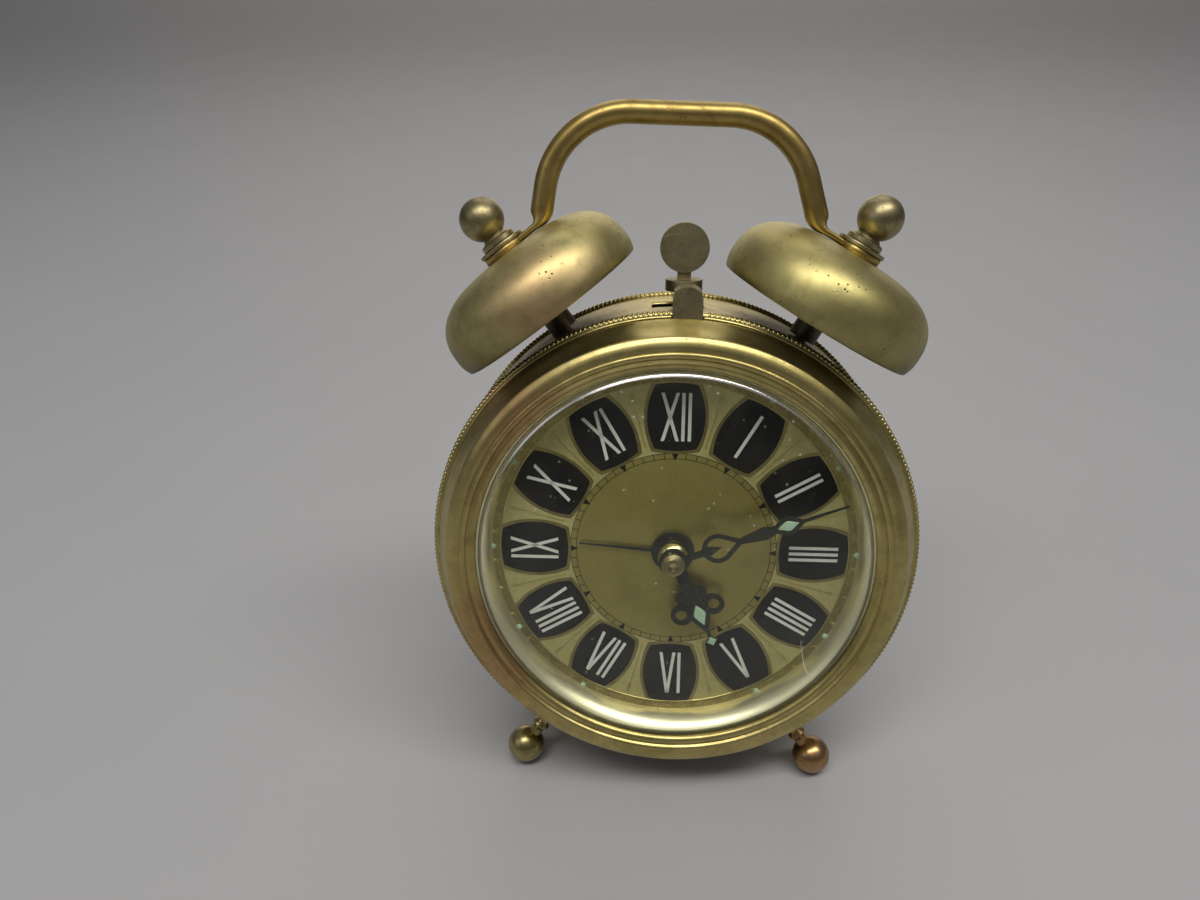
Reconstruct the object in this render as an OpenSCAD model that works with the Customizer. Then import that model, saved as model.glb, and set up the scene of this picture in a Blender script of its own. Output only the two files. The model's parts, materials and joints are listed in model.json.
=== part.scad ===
// Small mechanical twin-bell alarm clock, standing as it rests: on two ball feet in
// front and on the rear rim of its case. Front faces -Y, +Z is up, millimetres.
// Most modules draw in the clock's own frame: X right, Y up, Z out of the dial.

/* [Case] */
// Outer radius of the two beaded rims
case_r = 36; // [34:0.5:38]
// Radius of the smooth drum between the rims
drum_r = 35.3; // [33.5:0.1:35.5]
// Thickness of the drum's sheet
drum_wall = 0.5; // [0.4:0.1:1]
// Radius of the half-round section of a beaded rim
rim_bead_r = 0.7; // [0.5:0.1:0.9]
// Distance from the dial's plane back to the rear rim
rear_rim_back = 18.3; // [17.5:0.1:20]
// Height of the bezel's bright ridge over the dial
bezel_h = 5.65; // [5:0.05:6.5]
// Radius of the opening that shows the crystal
window_r = 28.8; // [27:0.1:29.2]
// Height of the crystal's crown over the dial
crystal_top = 8.2; // [7.6:0.1:9]
// Radius of the back cover
cover_r = 34.5; // [33.5:0.1:34.6]

/* [Feet] */
// Radius of a foot's ball
foot_ball_r = 2.95; // [2.6:0.05:3.6]
// Distance from the case's axis to a foot's ball
foot_reach = 43; // [41:0.1:46]
// Angle of a foot from straight down
foot_angle = 32.6; // [25:0.1:45]
// Distance from the dial's plane back to the feet
foot_back = 2.2; // [1.9:0.1:5]

/* [Bells] */
// Largest radius of a bell
bell_r = 15.6; // [13:0.1:16]
// Height of a bell from its rim to its crown
bell_h = 10.6; // [9:0.1:12]
// Thickness of a bell's sheet
bell_wall = 0.65; // [0.5:0.05:1]
// Distance from the dial's plane back to the bells' posts
bell_back = 9; // [8:0.1:10]
// Angle round the case, from the top, of the left bell's post
left_post_at = 27.8; // [26:0.1:32]
// Tilt of the left bell from upright
left_tilt = 37; // [30:0.5:38]
// Angle round the case, from the top, of the right bell's post
right_post_at = 30.8; // [28:0.1:34]
// Tilt of the right bell from upright
right_tilt = 30; // [28:0.5:37]
// Gap from the drum to a bell's rim along its post
rim_gap = 3.6; // [3:0.1:5]
// Radius of a finial's ball
finial_r = 3.25; // [2.8:0.05:3.6]
// Distance from a bell's crown to the middle of its finial
finial_rise = 5.9; // [5.5:0.1:6.5]

/* [Handle] */
// Thickness of the handle's wire
wire_d = 3.3; // [2.6:0.1:3.6]
// Height of the handle's bar over the case's axis
handle_top = 61.7; // [58:0.1:66]
// Radius of the handle's upper bends
handle_bend = 12; // [6:0.5:13]
// How far the bar drops from left to right
bar_drop = 1.2; // [0:0.1:2]

/* [Hammer and stop button] */
// Radius of the hammer's disc
hammer_r = 3.55; // [3:0.05:4]
// Height of the hammer's disc over the case's axis
hammer_h = 43.5; // [42.5:0.1:44]
// Sideways place of the hammer at rest
hammer_x = 0.8; // [0:0.1:1]
// Width of the stop button
button_w = 4.1; // [3:0.1:4.4]
// Height of the stop button's top over the case's axis
button_top = 39.2; // [38:0.1:40]
// Travel of the stop button
button_travel = 1.4; // [0.8:0.1:1.5]

/* [Hands] */
// Minute that the hands show
shown_minute = 11.5; // [0:0.5:59.5]
// Hour that the hands show
shown_hour = 5; // [0:1:11]
// Hour that the alarm hand points at
alarm_hour = 9.15; // [0:0.05:11.95]
// Length of the minute hand
minute_len = 26.2; // [24:0.1:27]
// Length of the alarm hand
alarm_len = 14; // [10:0.1:15]

/* [Movement] */
// Radius of the movement's plates
plate_r = 30; // [29.5:0.1:31]
// Distance from the dial's plane back to the front plate
front_plate_back = 4; // [3.9:0.1:4.2]
// Distance from the dial's plane back to the back plate
back_plate_back = 15; // [14.8:0.1:15.2]
// Thickness of a plate
plate_t = 1; // [0.8:0.1:1.1]
// Module of the centre wheel and the motion work's first pair
centre_mod = 0.4; // [0.4]
// Running clearance round a shaft, on the radius
run = 0.06; // [0.04:0.01:0.08]

/* [Hidden] */
$fn = 96;
eps = 0.01;

// Lean of the standing clock: the feet's balls and the rear rim touch one plane
rim_ring_r = case_r - rim_bead_r;
lean_run = rear_rim_back - foot_back;
lean_rise = rim_ring_r - foot_reach * cos(foot_angle);
lean = asin((foot_ball_r - rim_bead_r) / norm([lean_run, lean_rise])) - atan2(lean_rise, lean_run);
stand_h = rear_rim_back * sin(lean) + rim_ring_r * cos(lean) + rim_bead_r;
// Shift that puts the middle of the clock's depth over the origin
depth_shift = -9.937;

// Distances along a bell's post, from the drum's surface
crown_at = rim_gap + bell_h;
finial_at = crown_at + finial_rise;
tab_t = 1;
tab_r = 3.4;
washer_t = 0.6;
washer_r = 3.6;
nut_r = 2.7;
post_r = 2.1;
stud_r = 0.95;

// Angles of the hands, clockwise from twelve
minute_angle = shown_minute * 6;
hour_angle = shown_hour * 30 + shown_minute / 2;
alarm_angle = alarm_hour * 30;

// Heights of the hands over the dial
alarm_hand_z = 0.4;
hour_hand_z = 1.9;
minute_hand_z = 4.2;
hand_t = 0.25;

// Levels of the wheels between the plates, as distances behind the dial
centre_wheel_back = 6.2;
third_wheel_back = 7.9;
fourth_wheel_back = 10.1;
escape_wheel_back = 12;
great_wheel_back = 13.3;
wheel_t = 0.6;

// Teeth of the wheels and pinions
cannon_teeth = 12;
minute_wheel_teeth = 36;
minute_pinion_teeth = 10;
hour_wheel_teeth = 40;
motion_gap = (cannon_teeth + minute_wheel_teeth) / 2 * centre_mod;
hour_mod = 2 * motion_gap / (minute_pinion_teeth + hour_wheel_teeth);
alarm_wheel_teeth = 48;
alarm_set_teeth = 20;
centre_teeth = 60;
centre_pinion_teeth = 10;
third_pinion_teeth = 8;
third_teeth = 56;
third_mod = 0.3;
fourth_pinion_teeth = 8;
fourth_teeth = 54;
fourth_mod = 0.28;
escape_pinion_teeth = 8;
escape_teeth = 15;
great_teeth = 50;
great_mod = 0.5;
alarm_great_teeth = 44;
alarm_escape_pinion_teeth = 8;
alarm_escape_teeth = 12;

// Places of the arbors, seen from the front: polar steps from one arbor to the next
function step_to(from, angle, reach) = from + reach * [cos(angle), sin(angle)];
function pair_gap(teeth_a, teeth_b, mod) = (teeth_a + teeth_b) / 2 * mod;
centre = [0, 0];
motion_dir = -90;
minute_wheel_at = step_to(centre, motion_dir, motion_gap);
alarm_set_dir = 60;
alarm_set_at = step_to(centre, alarm_set_dir, pair_gap(alarm_wheel_teeth, alarm_set_teeth, centre_mod));
great_dir = 201;
time_barrel_at = step_to(centre, great_dir, pair_gap(great_teeth, centre_pinion_teeth, great_mod));
alarm_barrel_at = step_to(centre, -22, 17.5);
third_dir = 130;
third_at = step_to(centre, third_dir, pair_gap(centre_teeth, third_pinion_teeth, centre_mod));
fourth_dir = 45;
fourth_at = step_to(third_at, fourth_dir, pair_gap(third_teeth, fourth_pinion_teeth, third_mod));
escape_dir = 150;
escape_at = step_to(fourth_at, escape_dir, pair_gap(fourth_teeth, escape_pinion_teeth, fourth_mod));
pallet_dir = 200;
pallet_at = step_to(escape_at, pallet_dir, 6.4);
balance_dir = 240;
balance_at = step_to(pallet_at, balance_dir, 7.8);
alarm_escape_dir = 100;
alarm_escape_at = step_to(alarm_barrel_at, alarm_escape_dir,
                          pair_gap(alarm_great_teeth, alarm_escape_pinion_teeth, great_mod));
hammer_dir = 100;
hammer_at = step_to(alarm_escape_at, hammer_dir, 6.4);

// Turn of a driven wheel whose teeth mesh with a driver's
function mesh_turn(turn, dir, teeth, driven) = dir + 180 + 180 / driven - (turn - dir) * teeth / driven;
cannon_turn = 0;
minute_wheel_turn = mesh_turn(cannon_turn, motion_dir, cannon_teeth, minute_wheel_teeth);
hour_wheel_turn = mesh_turn(minute_wheel_turn, motion_dir + 180, minute_pinion_teeth, hour_wheel_teeth);
alarm_set_turn = mesh_turn(0, alarm_set_dir, alarm_wheel_teeth, alarm_set_teeth);
great_turn = mesh_turn(0, great_dir, centre_pinion_teeth, great_teeth);
third_turn = mesh_turn(0, third_dir, centre_teeth, third_pinion_teeth);
fourth_turn = mesh_turn(third_turn, fourth_dir, third_teeth, fourth_pinion_teeth);
escape_turn = mesh_turn(fourth_turn, escape_dir, fourth_teeth, escape_pinion_teeth);
alarm_escape_turn = mesh_turn(0, alarm_escape_dir, alarm_great_teeth, alarm_escape_pinion_teeth);

arbor_r = 0.6;
thin_arbor_r = 0.45;
winding_arbor_r = 1.2;
pillar_r = 1.5;
pillar_ring = 28;
pillar_angles = [60, 165, 235, 305];

brass = "#a08c4a";
old_brass = "#8d7a3f";
steel = "#8f9195";
dark = "#26241f";

// ---------------------------------------------------------------- helpers

// Turns the clock's own frame into the standing pose
module stand() {
    translate([0, depth_shift, stand_h]) rotate([-lean, 0, 0]) rotate([90, 0, 0]) children();
}

// A disc or shaft along Z from one distance behind the dial to another
module shaft(at, r, from_back, to_back) {
    translate([at[0], at[1], -to_back]) cylinder(r = r, h = to_back - from_back);
}

// A ring with a true bore
module ring(at, r, bore_r, from_back, to_back) {
    difference() {
        shaft(at, r, from_back, to_back);
        shaft(at, bore_r, from_back - 1, to_back + 1);
    }
}

// Outline of a wheel with straight-flanked teeth
module teeth_2d(teeth, mod) {
    pitch = 360 / teeth;
    root_r = teeth * mod / 2 - 1.25 * mod;
    tip_r = teeth * mod / 2 + 0.75 * mod;
    polygon([for (i = [0 : teeth - 1], p = [[-0.34, root_r], [-0.09, tip_r], [0.09, tip_r], [0.34, root_r]])
        let (a = (i + p[0]) * pitch) p[1] * [cos(a), sin(a)]]);
}

// A wheel with spokes, bored for its arbor
module wheel(at, teeth, mod, turn, from_back, t, bore_r, spokes = 4) {
    rim_in = teeth * mod / 2 - 1.25 * mod - 0.9;
    hub_out = bore_r + 1.1;
    translate([at[0], at[1], -from_back - t]) rotate([0, 0, turn]) linear_extrude(t) {
        difference() {
            teeth_2d(teeth, mod);
            if (rim_in > hub_out + 0.8) difference() {
                circle(r = rim_in);
                circle(r = hub_out);
                for (i = [0 : spokes - 1]) rotate(i * 360 / spokes) translate([0, -0.5]) square([rim_in + 1, 1]);
            }
            circle(r = bore_r);
        }
    }
}

module pinion(at, teeth, mod, turn, from_back, t, bore_r) {
    translate([at[0], at[1], -from_back - t]) rotate([0, 0, turn]) linear_extrude(t) difference() {
        teeth_2d(teeth, mod);
        circle(r = bore_r);
    }
}

// Frame of a bell: Z along the post from the drum's surface, X across the clock
module bell_frame(side) {
    at = side < 0 ? left_post_at : right_post_at;
    tilt = side < 0 ? left_tilt : right_tilt;
    translate([side * drum_r * sin(at), drum_r * cos(at), -bell_back]) rotate([0, 0, -side * tilt])
        rotate([-90, 0, 0]) children();
}
function post_foot(side) = side < 0
    ? drum_r * [-sin(left_post_at), cos(left_post_at)]
    : drum_r * [sin(right_post_at), cos(right_post_at)];
function post_dir(side) = side < 0 ? [-sin(left_tilt), cos(left_tilt)] : [sin(right_tilt), cos(right_tilt)];

// Frame of a foot: Z along the stem, out of the drum
module foot_frame(side) {
    a = side * foot_angle;
    translate([0, 0, -foot_back]) rotate([0, 0, a]) rotate([90, 0, 0]) children();
}

// ---------------------------------------------------------------- case

slot_w = 7.6;
slot_l = 4.2;
button_back = 3;
button_front = 0.85;
button_x = 1.2;
notch_gap = 0.12;
lip_r = 32.9;

module case_drum() {
    front = 0.8;
    back = rear_rim_back + 1;
    inner_r = drum_r - drum_wall;
    color(brass) stand() difference() {
        union() {
            ring(centre, drum_r, inner_r, -front, back);
            ring(centre, inner_r + eps, lip_r, cover_back - cover_t - 0.55, cover_back - cover_t + 0.05);
            for (z = [0, rear_rim_back]) translate([0, 0, -z]) rotate_extrude($fn = 180)
                intersection() {
                    translate([rim_ring_r, 0]) circle(r = rim_bead_r, $fn = 32);
                    translate([rim_ring_r - 0.4, -1]) square([2, 2]);
                }
        }
        translate([-slot_w / 2, drum_r - 3, -bell_back - slot_l / 2]) cube([slot_w, 5, slot_l]);
        translate([button_x - button_w / 2 - notch_gap, drum_r - 3, -button_back - notch_gap])
            cube([button_w + 2 * notch_gap, 5, button_back + 2]);
        for (side = [-1, 1]) {
            bell_frame(side) translate([0, 0, -3]) cylinder(r = stud_r, h = 4);
            foot_frame(side) translate([0, 0, drum_r - 3]) cylinder(r = 0.75, h = 5);
        }
    }
}

// Section of the bezel's sheet: lip, bright ridge, sloping face, corner and flared side
module bezel() {
    outer = [[window_r, bezel_h - 0.65], [window_r + 0.35, bezel_h - 0.25], [29.7, bezel_h - 0.1],
        [30.1, bezel_h - 0.35], [30.4, bezel_h - 0.1], [30.75, bezel_h], [31.15, bezel_h - 0.12],
        [32.1, bezel_h - 0.35], [32.75, bezel_h - 0.6], [33.15, bezel_h - 1.05], [33.6, 3.7],
        [34.2, 2.5], [34.75, 1.5], [34.95, 0.95]];
    inner = [[34.45, 0.95], [34.45, -0.5], [33.95, -0.5], [33.95, 1.3], [33.55, 2.3], [33.0, 3.4],
        [32.4, 4.3], [31.2, 4.8], [29.9, 4.75], [window_r, 4.55]];
    color(brass) stand() difference() {
        rotate_extrude($fn = 180) polygon(concat(outer, inner));
        translate([button_x - button_w / 2 - notch_gap, 30, -2])
            cube([button_w + 2 * notch_gap, 6, 2 + button_front + 0.08]);
    }
}

// Domed crystal with a flat flange under the bezel's lip
crystal_t = 0.9;
crystal_edge_r = 28.6;
crystal_edge_z = 4.85;
module crystal() {
    rise = crystal_top - crystal_edge_z;
    dome_r = (crystal_edge_r * crystal_edge_r + rise * rise) / (2 * rise);
    flange_r = 29.7;
    flange_z = 4.45;
    color("#e8f0f0", 0.3) stand() rotate_extrude($fn = 144) polygon(concat(
        [for (i = [0 : 12]) let (a = asin(crystal_edge_r / dome_r) * i / 12)
            [dome_r * sin(a), crystal_top - dome_r + dome_r * cos(a)]],
        [[crystal_edge_r, flange_z], [flange_r, flange_z], [flange_r, flange_z - 0.7]],
        [for (i = [12 : -1 : 0]) let (a = asin((crystal_edge_r - 0.3) / (dome_r - crystal_t)) * i / 12)
            [(dome_r - crystal_t) * sin(a), crystal_top - dome_r + (dome_r - crystal_t) * cos(a)]]));
}

module reflector_ring() {
    color("#c9b871") stand() rotate_extrude($fn = 144)
        polygon([[27.8, 0.03], [28.5, 0.03], [29.6, 3.7], [29.0, 3.7]]);
}

dial_r = 29;
dial_t = 0.5;
dial_feet_at = [[-22, 9], [22, 9], [0, -24]];
module dial() {
    color("#a3954f") stand() difference() {
        union() {
            shaft(centre, dial_r, 0, dial_t);
            for (p = dial_feet_at) shaft(p, 0.7, dial_t - eps, front_plate_back + plate_t + 0.6);
        }
        shaft(centre, 2.1, -1, 2);
    }
}

// Flat cover with a stepped rim
cover_t = 0.45;
cover_back = 19.4;
module back_cover() {
    crown = 1.1;
    back_z = -cover_back - crown;
    color(brass) stand() difference() {
        rotate_extrude($fn = 144) polygon([[0, back_z], [30.2, back_z], [30.8, back_z + 0.3], [31.3, back_z + 0.8],
            [31.8, back_z + 1], [cover_r, back_z + 1], [cover_r, back_z + 1 + cover_t], [31.2, back_z + 1 + cover_t],
            [30.4, back_z + 0.3 + cover_t], [29.8, back_z + cover_t], [0, back_z + cover_t]]);
        for (p = [[centre, 1.5], [alarm_set_at, 1.3], [time_barrel_at, 2.2], [alarm_barrel_at, 2.2]])
            shaft(p[0], p[1], cover_back - 4, cover_back + 4);
        for (a = cover_screw_angles) shaft(pillar_ring * [cos(a), sin(a)], 0.95, cover_back - 4, cover_back + 4);
        regulator_slot();
        for (i = [-2 : 2]) translate([i * 3.2 - 0.6, -27, -cover_back - 4]) cube([1.2, 9, 8]);
    }
}
cover_screw_angles = [60, 165, 305];
regulator_reach = 9.6;
regulator_swing = 22;
regulator_dir = 25;
module regulator_slot() {
    for (i = [-regulator_swing - 6 : 4 : regulator_swing + 6])
        shaft(step_to(balance_at, regulator_dir + i, regulator_reach), 0.9, cover_back - 4, cover_back + 4);
}

module cover_screws() {
    color(steel) stand() for (a = cover_screw_angles) {
        p = pillar_ring * [cos(a), sin(a)];
        difference() {
            union() {
                shaft(p, 1.8, cover_back + 1.13, cover_back + 2.1);
                shaft(p, 0.8, cover_back - 2, cover_back + 1.2);
            }
            translate([p[0] - 2.5, p[1] - 0.2, -cover_back - 3]) cube([5, 0.4, 1.3]);
        }
    }
}

// ---------------------------------------------------------------- feet

module foot(side) {
    ball_z = foot_reach;
    color(brass) stand() foot_frame(side) {
        translate([0, 0, ball_z]) sphere(r = foot_ball_r, $fn = 64);
        translate([0, 0, drum_r - 1.6]) cylinder(r = 0.7, h = ball_z - drum_r);
        translate([0, 0, drum_r + 0.1]) cylinder(r1 = 1.5, r2 = 1.1, h = 0.7);
        translate([0, 0, drum_r + 0.75]) cylinder(r = 0.9, h = 3.5);
        translate([0, 0, drum_r + 2.6]) cylinder(r = 1.35, h = 0.8);
        translate([0, 0, drum_r - 1.5]) cylinder(r = 1.6, h = 0.9, $fn = 6);
    }
}
module foot_left() { foot(-1); }
module foot_right() { foot(1); }

// ---------------------------------------------------------------- bells and handle

// Half section of a bell, from the rim over the shoulder to the crown
function bell_curve(r, h, steps) = [for (i = [0 : steps]) let (a = 90 * i / steps)
    [r * pow(cos(a), 0.62), h * pow(sin(a), 0.8)]];

module bell(side) {
    inner_r = bell_r - bell_wall;
    inner_h = bell_h - bell_wall;
    skirt = 2.2;
    rim_in = 0.45;
    color(brass) stand() bell_frame(side) translate([0, 0, rim_gap]) difference() {
        rotate_extrude($fn = 144) polygon(concat(
            [[bell_r - rim_in, 0]],
            [for (p = bell_curve(bell_r, bell_h - skirt, 22)) [p[0], p[1] + skirt]],
            [for (i = [22 : -1 : 0]) let (p = bell_curve(inner_r, inner_h - skirt, 22)[i]) [p[0], p[1] + skirt]],
            [[inner_r - rim_in, 0]]));
        translate([0, 0, bell_h - 2]) cylinder(r = stud_r + 0.05, h = 4);
    }
}
module bell_left() { bell(-1); }
module bell_right() { bell(1); }

module bell_post(side) {
    top = crown_at - bell_wall - 0.02;
    color(dark) stand() bell_frame(side) {
        translate([0, 0, 0.35]) cylinder(r = post_r, h = top - 0.35);
        translate([0, 0, -2.3]) cylinder(r = stud_r - 0.05, h = crown_at + 6);
        translate([0, 0, -2.1]) cylinder(r = 1.9, h = 1.1, $fn = 6);
    }
}
module bell_post_left() { bell_post(-1); }
module bell_post_right() { bell_post(1); }

module bell_washers() {
    color(old_brass) stand() for (side = [-1, 1]) bell_frame(side)
        translate([0, 0, crown_at + tab_t + 0.02]) difference() {
            cylinder(r = washer_r, h = washer_t);
            translate([0, 0, -1]) cylinder(r = stud_r + 0.05, h = 3);
        }
}

module finial(side) {
    base = crown_at + tab_t + washer_t + 0.04;
    color(brass) stand() bell_frame(side) difference() {
        union() {
            translate([0, 0, finial_at]) sphere(r = finial_r, $fn = 64);
            translate([0, 0, base]) cylinder(r = nut_r, h = 0.95);
            translate([0, 0, base + 0.9]) cylinder(r = 1.9, h = 0.9);
        }
        translate([0, 0, base - 1]) cylinder(r = stud_r, h = 3.2);
    }
}
module finial_left() { finial(-1); }
module finial_right() { finial(1); }

// The handle: one round wire, flattened where its two ends lie on the bells' crowns.
// Its line runs over a tab, up a leg, along the bar and down again.
function unit(v) = v / norm(v);
function tab_at(side) = post_foot(side) + (crown_at + tab_t / 2 + 0.01) * post_dir(side);
function inward(side) = -side * [post_dir(side)[1], -post_dir(side)[0]];
strip_reach = 6.6;
heel_bend = 2.4;
bend_steps = 9;
left_corner = [-17.5, handle_top + bar_drop / 2];
right_corner = [15.3, handle_top - bar_drop / 2];
wire_corners = [tab_at(-1) + 1.6 * inward(-1), tab_at(-1) + strip_reach * inward(-1), left_corner,
    right_corner, tab_at(1) + strip_reach * inward(1), tab_at(1) + 1.6 * inward(1)];
wire_bends = [heel_bend, handle_bend, handle_bend, heel_bend];

// Points of the arc that rounds one corner, tangent to the runs on both sides
function rounded(before, corner, after, r) =
    let (u = unit(before - corner), v = unit(after - corner), half = acos(u * v) / 2,
         middle = corner + unit(u + v) * r / sin(half), a = corner + u * r / tan(half) - middle,
         sweep = (180 - 2 * half) * sign(cross(u, v)) * -1)
    [for (i = [0 : bend_steps]) let (t = sweep * i / bend_steps)
        middle + [a[0] * cos(t) - a[1] * sin(t), a[0] * sin(t) + a[1] * cos(t)]];
wire_line = concat([wire_corners[0]],
    [for (i = [1 : 4], p = rounded(wire_corners[i - 1], wire_corners[i], wire_corners[i + 1], wire_bends[i - 1])) p],
    [wire_corners[5]]);

// How round the wire is at a point of its line: 0 on a tab, 1 on a leg or the bar
flat_points = 2;
function roundness(i) = let (n = min(i, len(wire_line) - 1 - i)) min(1, max(0, (n - flat_points) / bend_steps));

module wire() {
    sides = 20;
    count = len(wire_line);
    points = [for (i = [0 : count - 1])
        let (ahead = unit(wire_line[min(i + 1, count - 1)] - wire_line[max(i - 1, 0)]),
             across = [-ahead[1], ahead[0]], k = roundness(i),
             thin = (tab_t + (wire_d - tab_t) * k) / 2, wide = (3.9 + (wire_d - 3.9) * k) / 2)
        for (j = [0 : sides - 1]) let (b = 360 * (j + 0.5) / sides)
            [wire_line[i][0] + across[0] * thin * cos(b), wire_line[i][1] + across[1] * thin * cos(b),
             wide * sin(b) - bell_back]];
    walls = [for (i = [0 : count - 2], j = [0 : sides - 1]) let (k = (j + 1) % sides)
        [i * sides + j, (i + 1) * sides + j, (i + 1) * sides + k, i * sides + k]];
    first = [for (j = [0 : sides - 1]) j];
    last = [for (j = [sides - 1 : -1 : 0]) (count - 1) * sides + j];
    polyhedron(points, concat(walls, [first, last]));
}

module handle() {
    color(brass) stand() {
        wire();
        for (side = [-1, 1]) bell_frame(side) translate([0, 0, crown_at + 0.01]) difference() {
            cylinder(r = tab_r, h = tab_t);
            translate([0, 0, -1]) cylinder(r = stud_r + 0.05, h = 3);
        }
    }
}

// ---------------------------------------------------------------- hammer and stop button

strip_w = 2;
strip_t = 0.6;
hammer_back = bell_back + 0.1;
collar_r = 2.7;
collar_h = 37.4;

module hammer() {
    knee = [hammer_x, 30];
    color(old_brass) stand() difference() {
        union() {
            shaft([hammer_x, hammer_h], hammer_r, hammer_back - 0.6, hammer_back + 0.6);
            translate([hammer_x - strip_w / 2, knee[1] - 0.6, -hammer_back - strip_t / 2])
                cube([strip_w, hammer_h - knee[1] - 2, strip_t]);
            translate([hammer_x, collar_h, -hammer_back]) rotate([-90, 0, 0]) cylinder(r = collar_r, h = 1.6);
            translate([0, 0, -hammer_back - strip_t / 2]) linear_extrude(strip_t)
                polygon([knee + [-1, 1.2], knee + [-1, -0.6], hammer_at + [-1.4, -0.6], hammer_at + [1.2, 0.9],
                    knee + [1, 1.2]]);
            shaft(hammer_at, 1.8, hammer_back - 1, hammer_back + 1);
            shaft(hammer_at, 1.3, hammer_back - 1, 12.6);
            for (a = [-1, 1]) translate([hammer_at[0], hammer_at[1], -12.6])
                rotate([0, 0, hammer_dir + 180 + a * 52]) translate([0, -0.35, 0]) cube([3.1, 0.7, 0.9]);
        }
        shaft(hammer_at, arbor_r + run, 5, 14);
    }
}

module hammer_arbor() {
    color(steel) stand() {
        shaft(hammer_at, arbor_r, front_plate_back + 0.05, back_plate_back + plate_t - 0.05);
        shaft(hammer_at, 1.2, front_plate_back + plate_t + 0.1, front_plate_back + plate_t + 2.6);
    }
}

// Button with an arched top, standing in its notch behind the bezel
button_rise = 1.5;
pin_r = 0.6;
pin_back = 2.2;
flange_top = 34.1;
module stop_button() {
    depth = button_back + button_front;
    shoulder = 0.35;
    color(old_brass) stand() {
        translate([button_x, 0, -button_back]) linear_extrude(depth) {
            translate([-button_w / 2, flange_top - 1]) square([button_w, button_top - button_rise - flange_top + 1]);
            intersection() {
                translate([-button_w / 2 + shoulder / 2, flange_top]) square([button_w - shoulder, 9]);
                translate([0, button_top - 2.6]) circle(r = 2.6);
            }
        }
        translate([button_x - 2.9, flange_top - 1, -3.5]) cube([5.8, 0.9, 2.9]);
        translate([button_x, flange_top - 0.5, -pin_back]) rotate([90, 0, 0]) cylinder(r = pin_r, h = 8, $fn = 32);
    }
}

shelf_y = 27.2;
module stop_bracket() {
    color(steel) stand() difference() {
        union() {
            translate([button_x - 2, shelf_y - 0.8, -front_plate_back + 0.01]) cube([4, 0.8, 3.2]);
            translate([button_x - 2, shelf_y - 5, -front_plate_back + 0.01]) cube([4, 4.5, 0.7]);
        }
        translate([button_x, shelf_y + 1, -pin_back]) rotate([90, 0, 0]) cylinder(r = pin_r + run, h = 3);
        shaft([button_x, shelf_y - 3.2], 0.6, 2, 6);
    }
}

// Return spring: flat-ended rings of wire stand for its coils
module stop_spring() {
    top = flange_top - 1.05;
    coils = 5;
    wire_r = 0.16;
    coil_r = 1.1;
    room = top - shelf_y - 2 * wire_r - 0.04;
    color(steel) stand() translate([button_x, shelf_y + wire_r + 0.02, -pin_back]) rotate([-90, 0, 0])
        coil_spring(coil_r, wire_r, coils, room);
}

// Helix of round wire as one swept surface
module coil_spring(r, wire_r, coils, h) {
    steps = coils * 20;
    sides = 6;
    points = [for (i = [0 : steps], j = [0 : sides - 1])
        let (a = 360 * coils * i / steps, b = 360 * j / sides, q = r + wire_r * cos(b))
        [q * cos(a), q * sin(a), h * i / steps + wire_r * sin(b)]];
    walls = [for (i = [0 : steps - 1], j = [0 : sides - 1]) let (k = (j + 1) % sides)
        [i * sides + j, i * sides + k, (i + 1) * sides + k, (i + 1) * sides + j]];
    first = [for (j = [sides - 1 : -1 : 0]) j];
    last = [for (j = [0 : sides - 1]) steps * sides + j];
    polyhedron(points, concat(walls, [first, last]));
}

// ---------------------------------------------------------------- hands

// Turns a hand drawn towards twelve to its angle and lifts it to its height
module place_hand(angle, z) {
    stand() translate([0, 0, z]) rotate([0, 0, -angle]) children();
}

// One piece of a hand's sheet
module sheet() { linear_extrude(hand_t) children(); }

// Cut through a hand's sheet
module window() { translate([0, 0, -1]) linear_extrude(hand_t + 2) children(); }

// Pointed oval, the outline of a lume window and of the open loop
module leaf(at, half_w, tail, nose) {
    hull() {
        translate([0, at]) circle(r = half_w, $fn = 40);
        translate([0, at + nose]) circle(r = 0.12, $fn = 16);
        translate([0, at - tail]) circle(r = 0.3, $fn = 16);
    }
}

cannon_r = 0.9;
module minute_hand() {
    color(dark) place_hand(minute_angle, minute_hand_z) difference() {
        union() {
            cylinder(r = 2.1, h = hand_t);
            sheet() translate([-0.5, 1.6]) square([1, 3]);
            sheet() leaf(6.8, 2.25, 2.3, 3.9);
            sheet() polygon([[-0.4, 9.8], [-1.05, 13.9], [-0.5, 15.9], [0.5, 15.9], [1.05, 13.9], [0.4, 9.8]]);
            sheet() leaf(17.3, 1.45, 2.3, 2.5);
            sheet() polygon([[-0.3, 18.8], [-0.12, minute_len], [0.12, minute_len], [0.3, 18.8]]);
        }
        window() difference() {
            leaf(6.8, 1.6, 1.6, 2.6);
            polygon([[-0.55, 4], [-0.75, 5.6], [0, 7.4], [0.75, 5.6], [0.55, 4]]);
        }
        window() leaf(17.3, 0.8, 1.2, 1.5);
        translate([0, 0, -1]) cylinder(r = cannon_r, h = 3);
    }
}

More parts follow.
